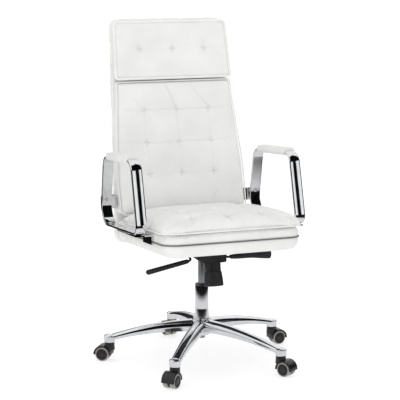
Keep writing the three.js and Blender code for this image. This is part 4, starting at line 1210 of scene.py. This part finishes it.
def studio_room():
    """An even white room; mirrors see it instead as a dark one with upright and overhead softboxes."""
    world = bpy.data.worlds.new("studio")
    bpy.context.scene.world = world
    world.use_nodes = True
    tree = world.node_tree
    tree.nodes.clear()
    direction = node(tree, "TexCoord").outputs["Generated"]
    axes = node(tree, "SeparateXYZ", {"Vector": direction}).outputs
    turn = node(tree, "Math", {0: axes["Y"], 1: axes["X"]}, operation="ARCTAN2").outputs[0]
    share = span(tree, turn, -math.pi, math.pi, 0.0, 1.0)
    low = ramp(tree, share, [(0.0, "#E8E8E8"), (0.07, "#FFFFFF"), (0.1, "#0A0A0C"), (0.205, "#0A0A0C"),
                             (0.22, "#FFFFFF"), (0.27, "#FFFFFF"), (0.28, "#050506"), (0.335, "#050506"),
                             (0.345, "#FFFFFF"), (0.4, "#FFFFFF"), (0.42, "#141416"), (0.52, "#141416"),
                             (0.55, "#9A9A9C"), (0.62, "#FFFFFF"), (0.7, "#FFFFFF"), (0.74, "#2A2A30"),
                             (0.8, "#2A2A30"), (0.83, "#FFFFFF"), (1.0, "#E8E8E8")])
    middle = ramp(tree, share, [(0.0, "#FFFFFF"), (0.12, "#FFFFFF"), (0.15, "#060608"), (0.47, "#060608"),
                                (0.51, "#FFFFFF"), (1.0, "#FFFFFF")])
    white = (1, 1, 1, 1)
    upper = span(tree, axes["Z"], 0.44, 0.52, 0.0, 1.0)
    sides = node(tree, "Mix", {0: upper, 6: low, 7: middle}, data_type="RGBA").outputs[2]
    over = span(tree, axes["Z"], 0.97, 0.98, 0.0, 1.0)
    room = node(tree, "Mix", {0: over, 6: sides, 7: white}, data_type="RGBA").outputs[2]
    rays = node(tree, "LightPath").outputs
    mirrored = node(tree, "Background", {"Color": room, "Strength": 1.0})
    lighting = node(tree, "Background", {"Color": white, "Strength": 0.9})
    backdrop = node(tree, "Background", {"Color": white, "Strength": 1.0})
    lit = node(tree, "MixShader", {0: rays["Is Glossy Ray"], 1: lighting.outputs[0], 2: mirrored.outputs[0]})
    mixed = node(tree, "MixShader", {0: rays["Is Camera Ray"], 1: lit.outputs[0], 2: backdrop.outputs[0]})
    node(tree, "OutputWorld", {"Surface": mixed.outputs[0]})


def build_studio():
    """A pale floor, the room, two soft lamps that mirrors don't see, and the camera."""
    scene = bpy.context.scene
    scene.view_settings.view_transform = "Standard"
    scene.view_settings.look = "None"
    mesh = bpy.data.meshes.new("floor")
    wide = 60.0
    corners = [(-wide, -wide, 0), (wide, -wide, 0), (wide, wide, 0), (-wide, wide, 0)]
    mesh.from_pydata(corners, [], [(0, 1, 2, 3)])
    floor = bpy.data.objects.new("floor", mesh)
    scene.collection.objects.link(floor)
    mesh.materials.append(floor_paint())
    studio_room()

    for name, place, size, power in (("lamp_above", (-0.3, -1.2, 3.2), 1.8, 9),
                                     ("lamp_left", (-2.4, -2.6, 1.2), 1.6, 8)):
        data = bpy.data.lights.new(name, "AREA")
        data.shape = "SQUARE"
        data.size = size
        data.energy = power
        lamp = bpy.data.objects.new(name, data)
        lamp.location = place
        lamp.rotation_euler = (Vector((0, 0, 0.5)) - Vector(place)).to_track_quat("-Z", "Y").to_euler()
        scene.collection.objects.link(lamp)
        lamp.visible_glossy = False

    azimuth, elevation = math.radians(CAMERA_AZIMUTH), math.radians(CAMERA_ELEVATION)
    back = Vector((math.sin(azimuth) * math.cos(elevation), -math.cos(azimuth) * math.cos(elevation),
                   math.sin(elevation)))
    right = Vector((math.cos(azimuth), math.sin(azimuth), 0))
    target = right * CAMERA_SHIFT + Vector((0, COLUMN_Y * MM, CAMERA_AIM))
    data = bpy.data.cameras.new("camera")
    data.sensor_width, data.lens = 36, CAMERA_LENS
    camera = bpy.data.objects.new("camera", data)
    camera.location = target + back * CAMERA_DISTANCE
    camera.rotation_euler = back.to_track_quat("Z", "Y").to_euler()
    scene.collection.objects.link(camera)
    scene.camera = camera


build_studio()
finish_solids()
build_base()
build_casters()
build_column()
build_tensioner()
build_levers()
build_seat_pad()
build_seat_cushion()
build_back_shell()
build_back()
build_arms()
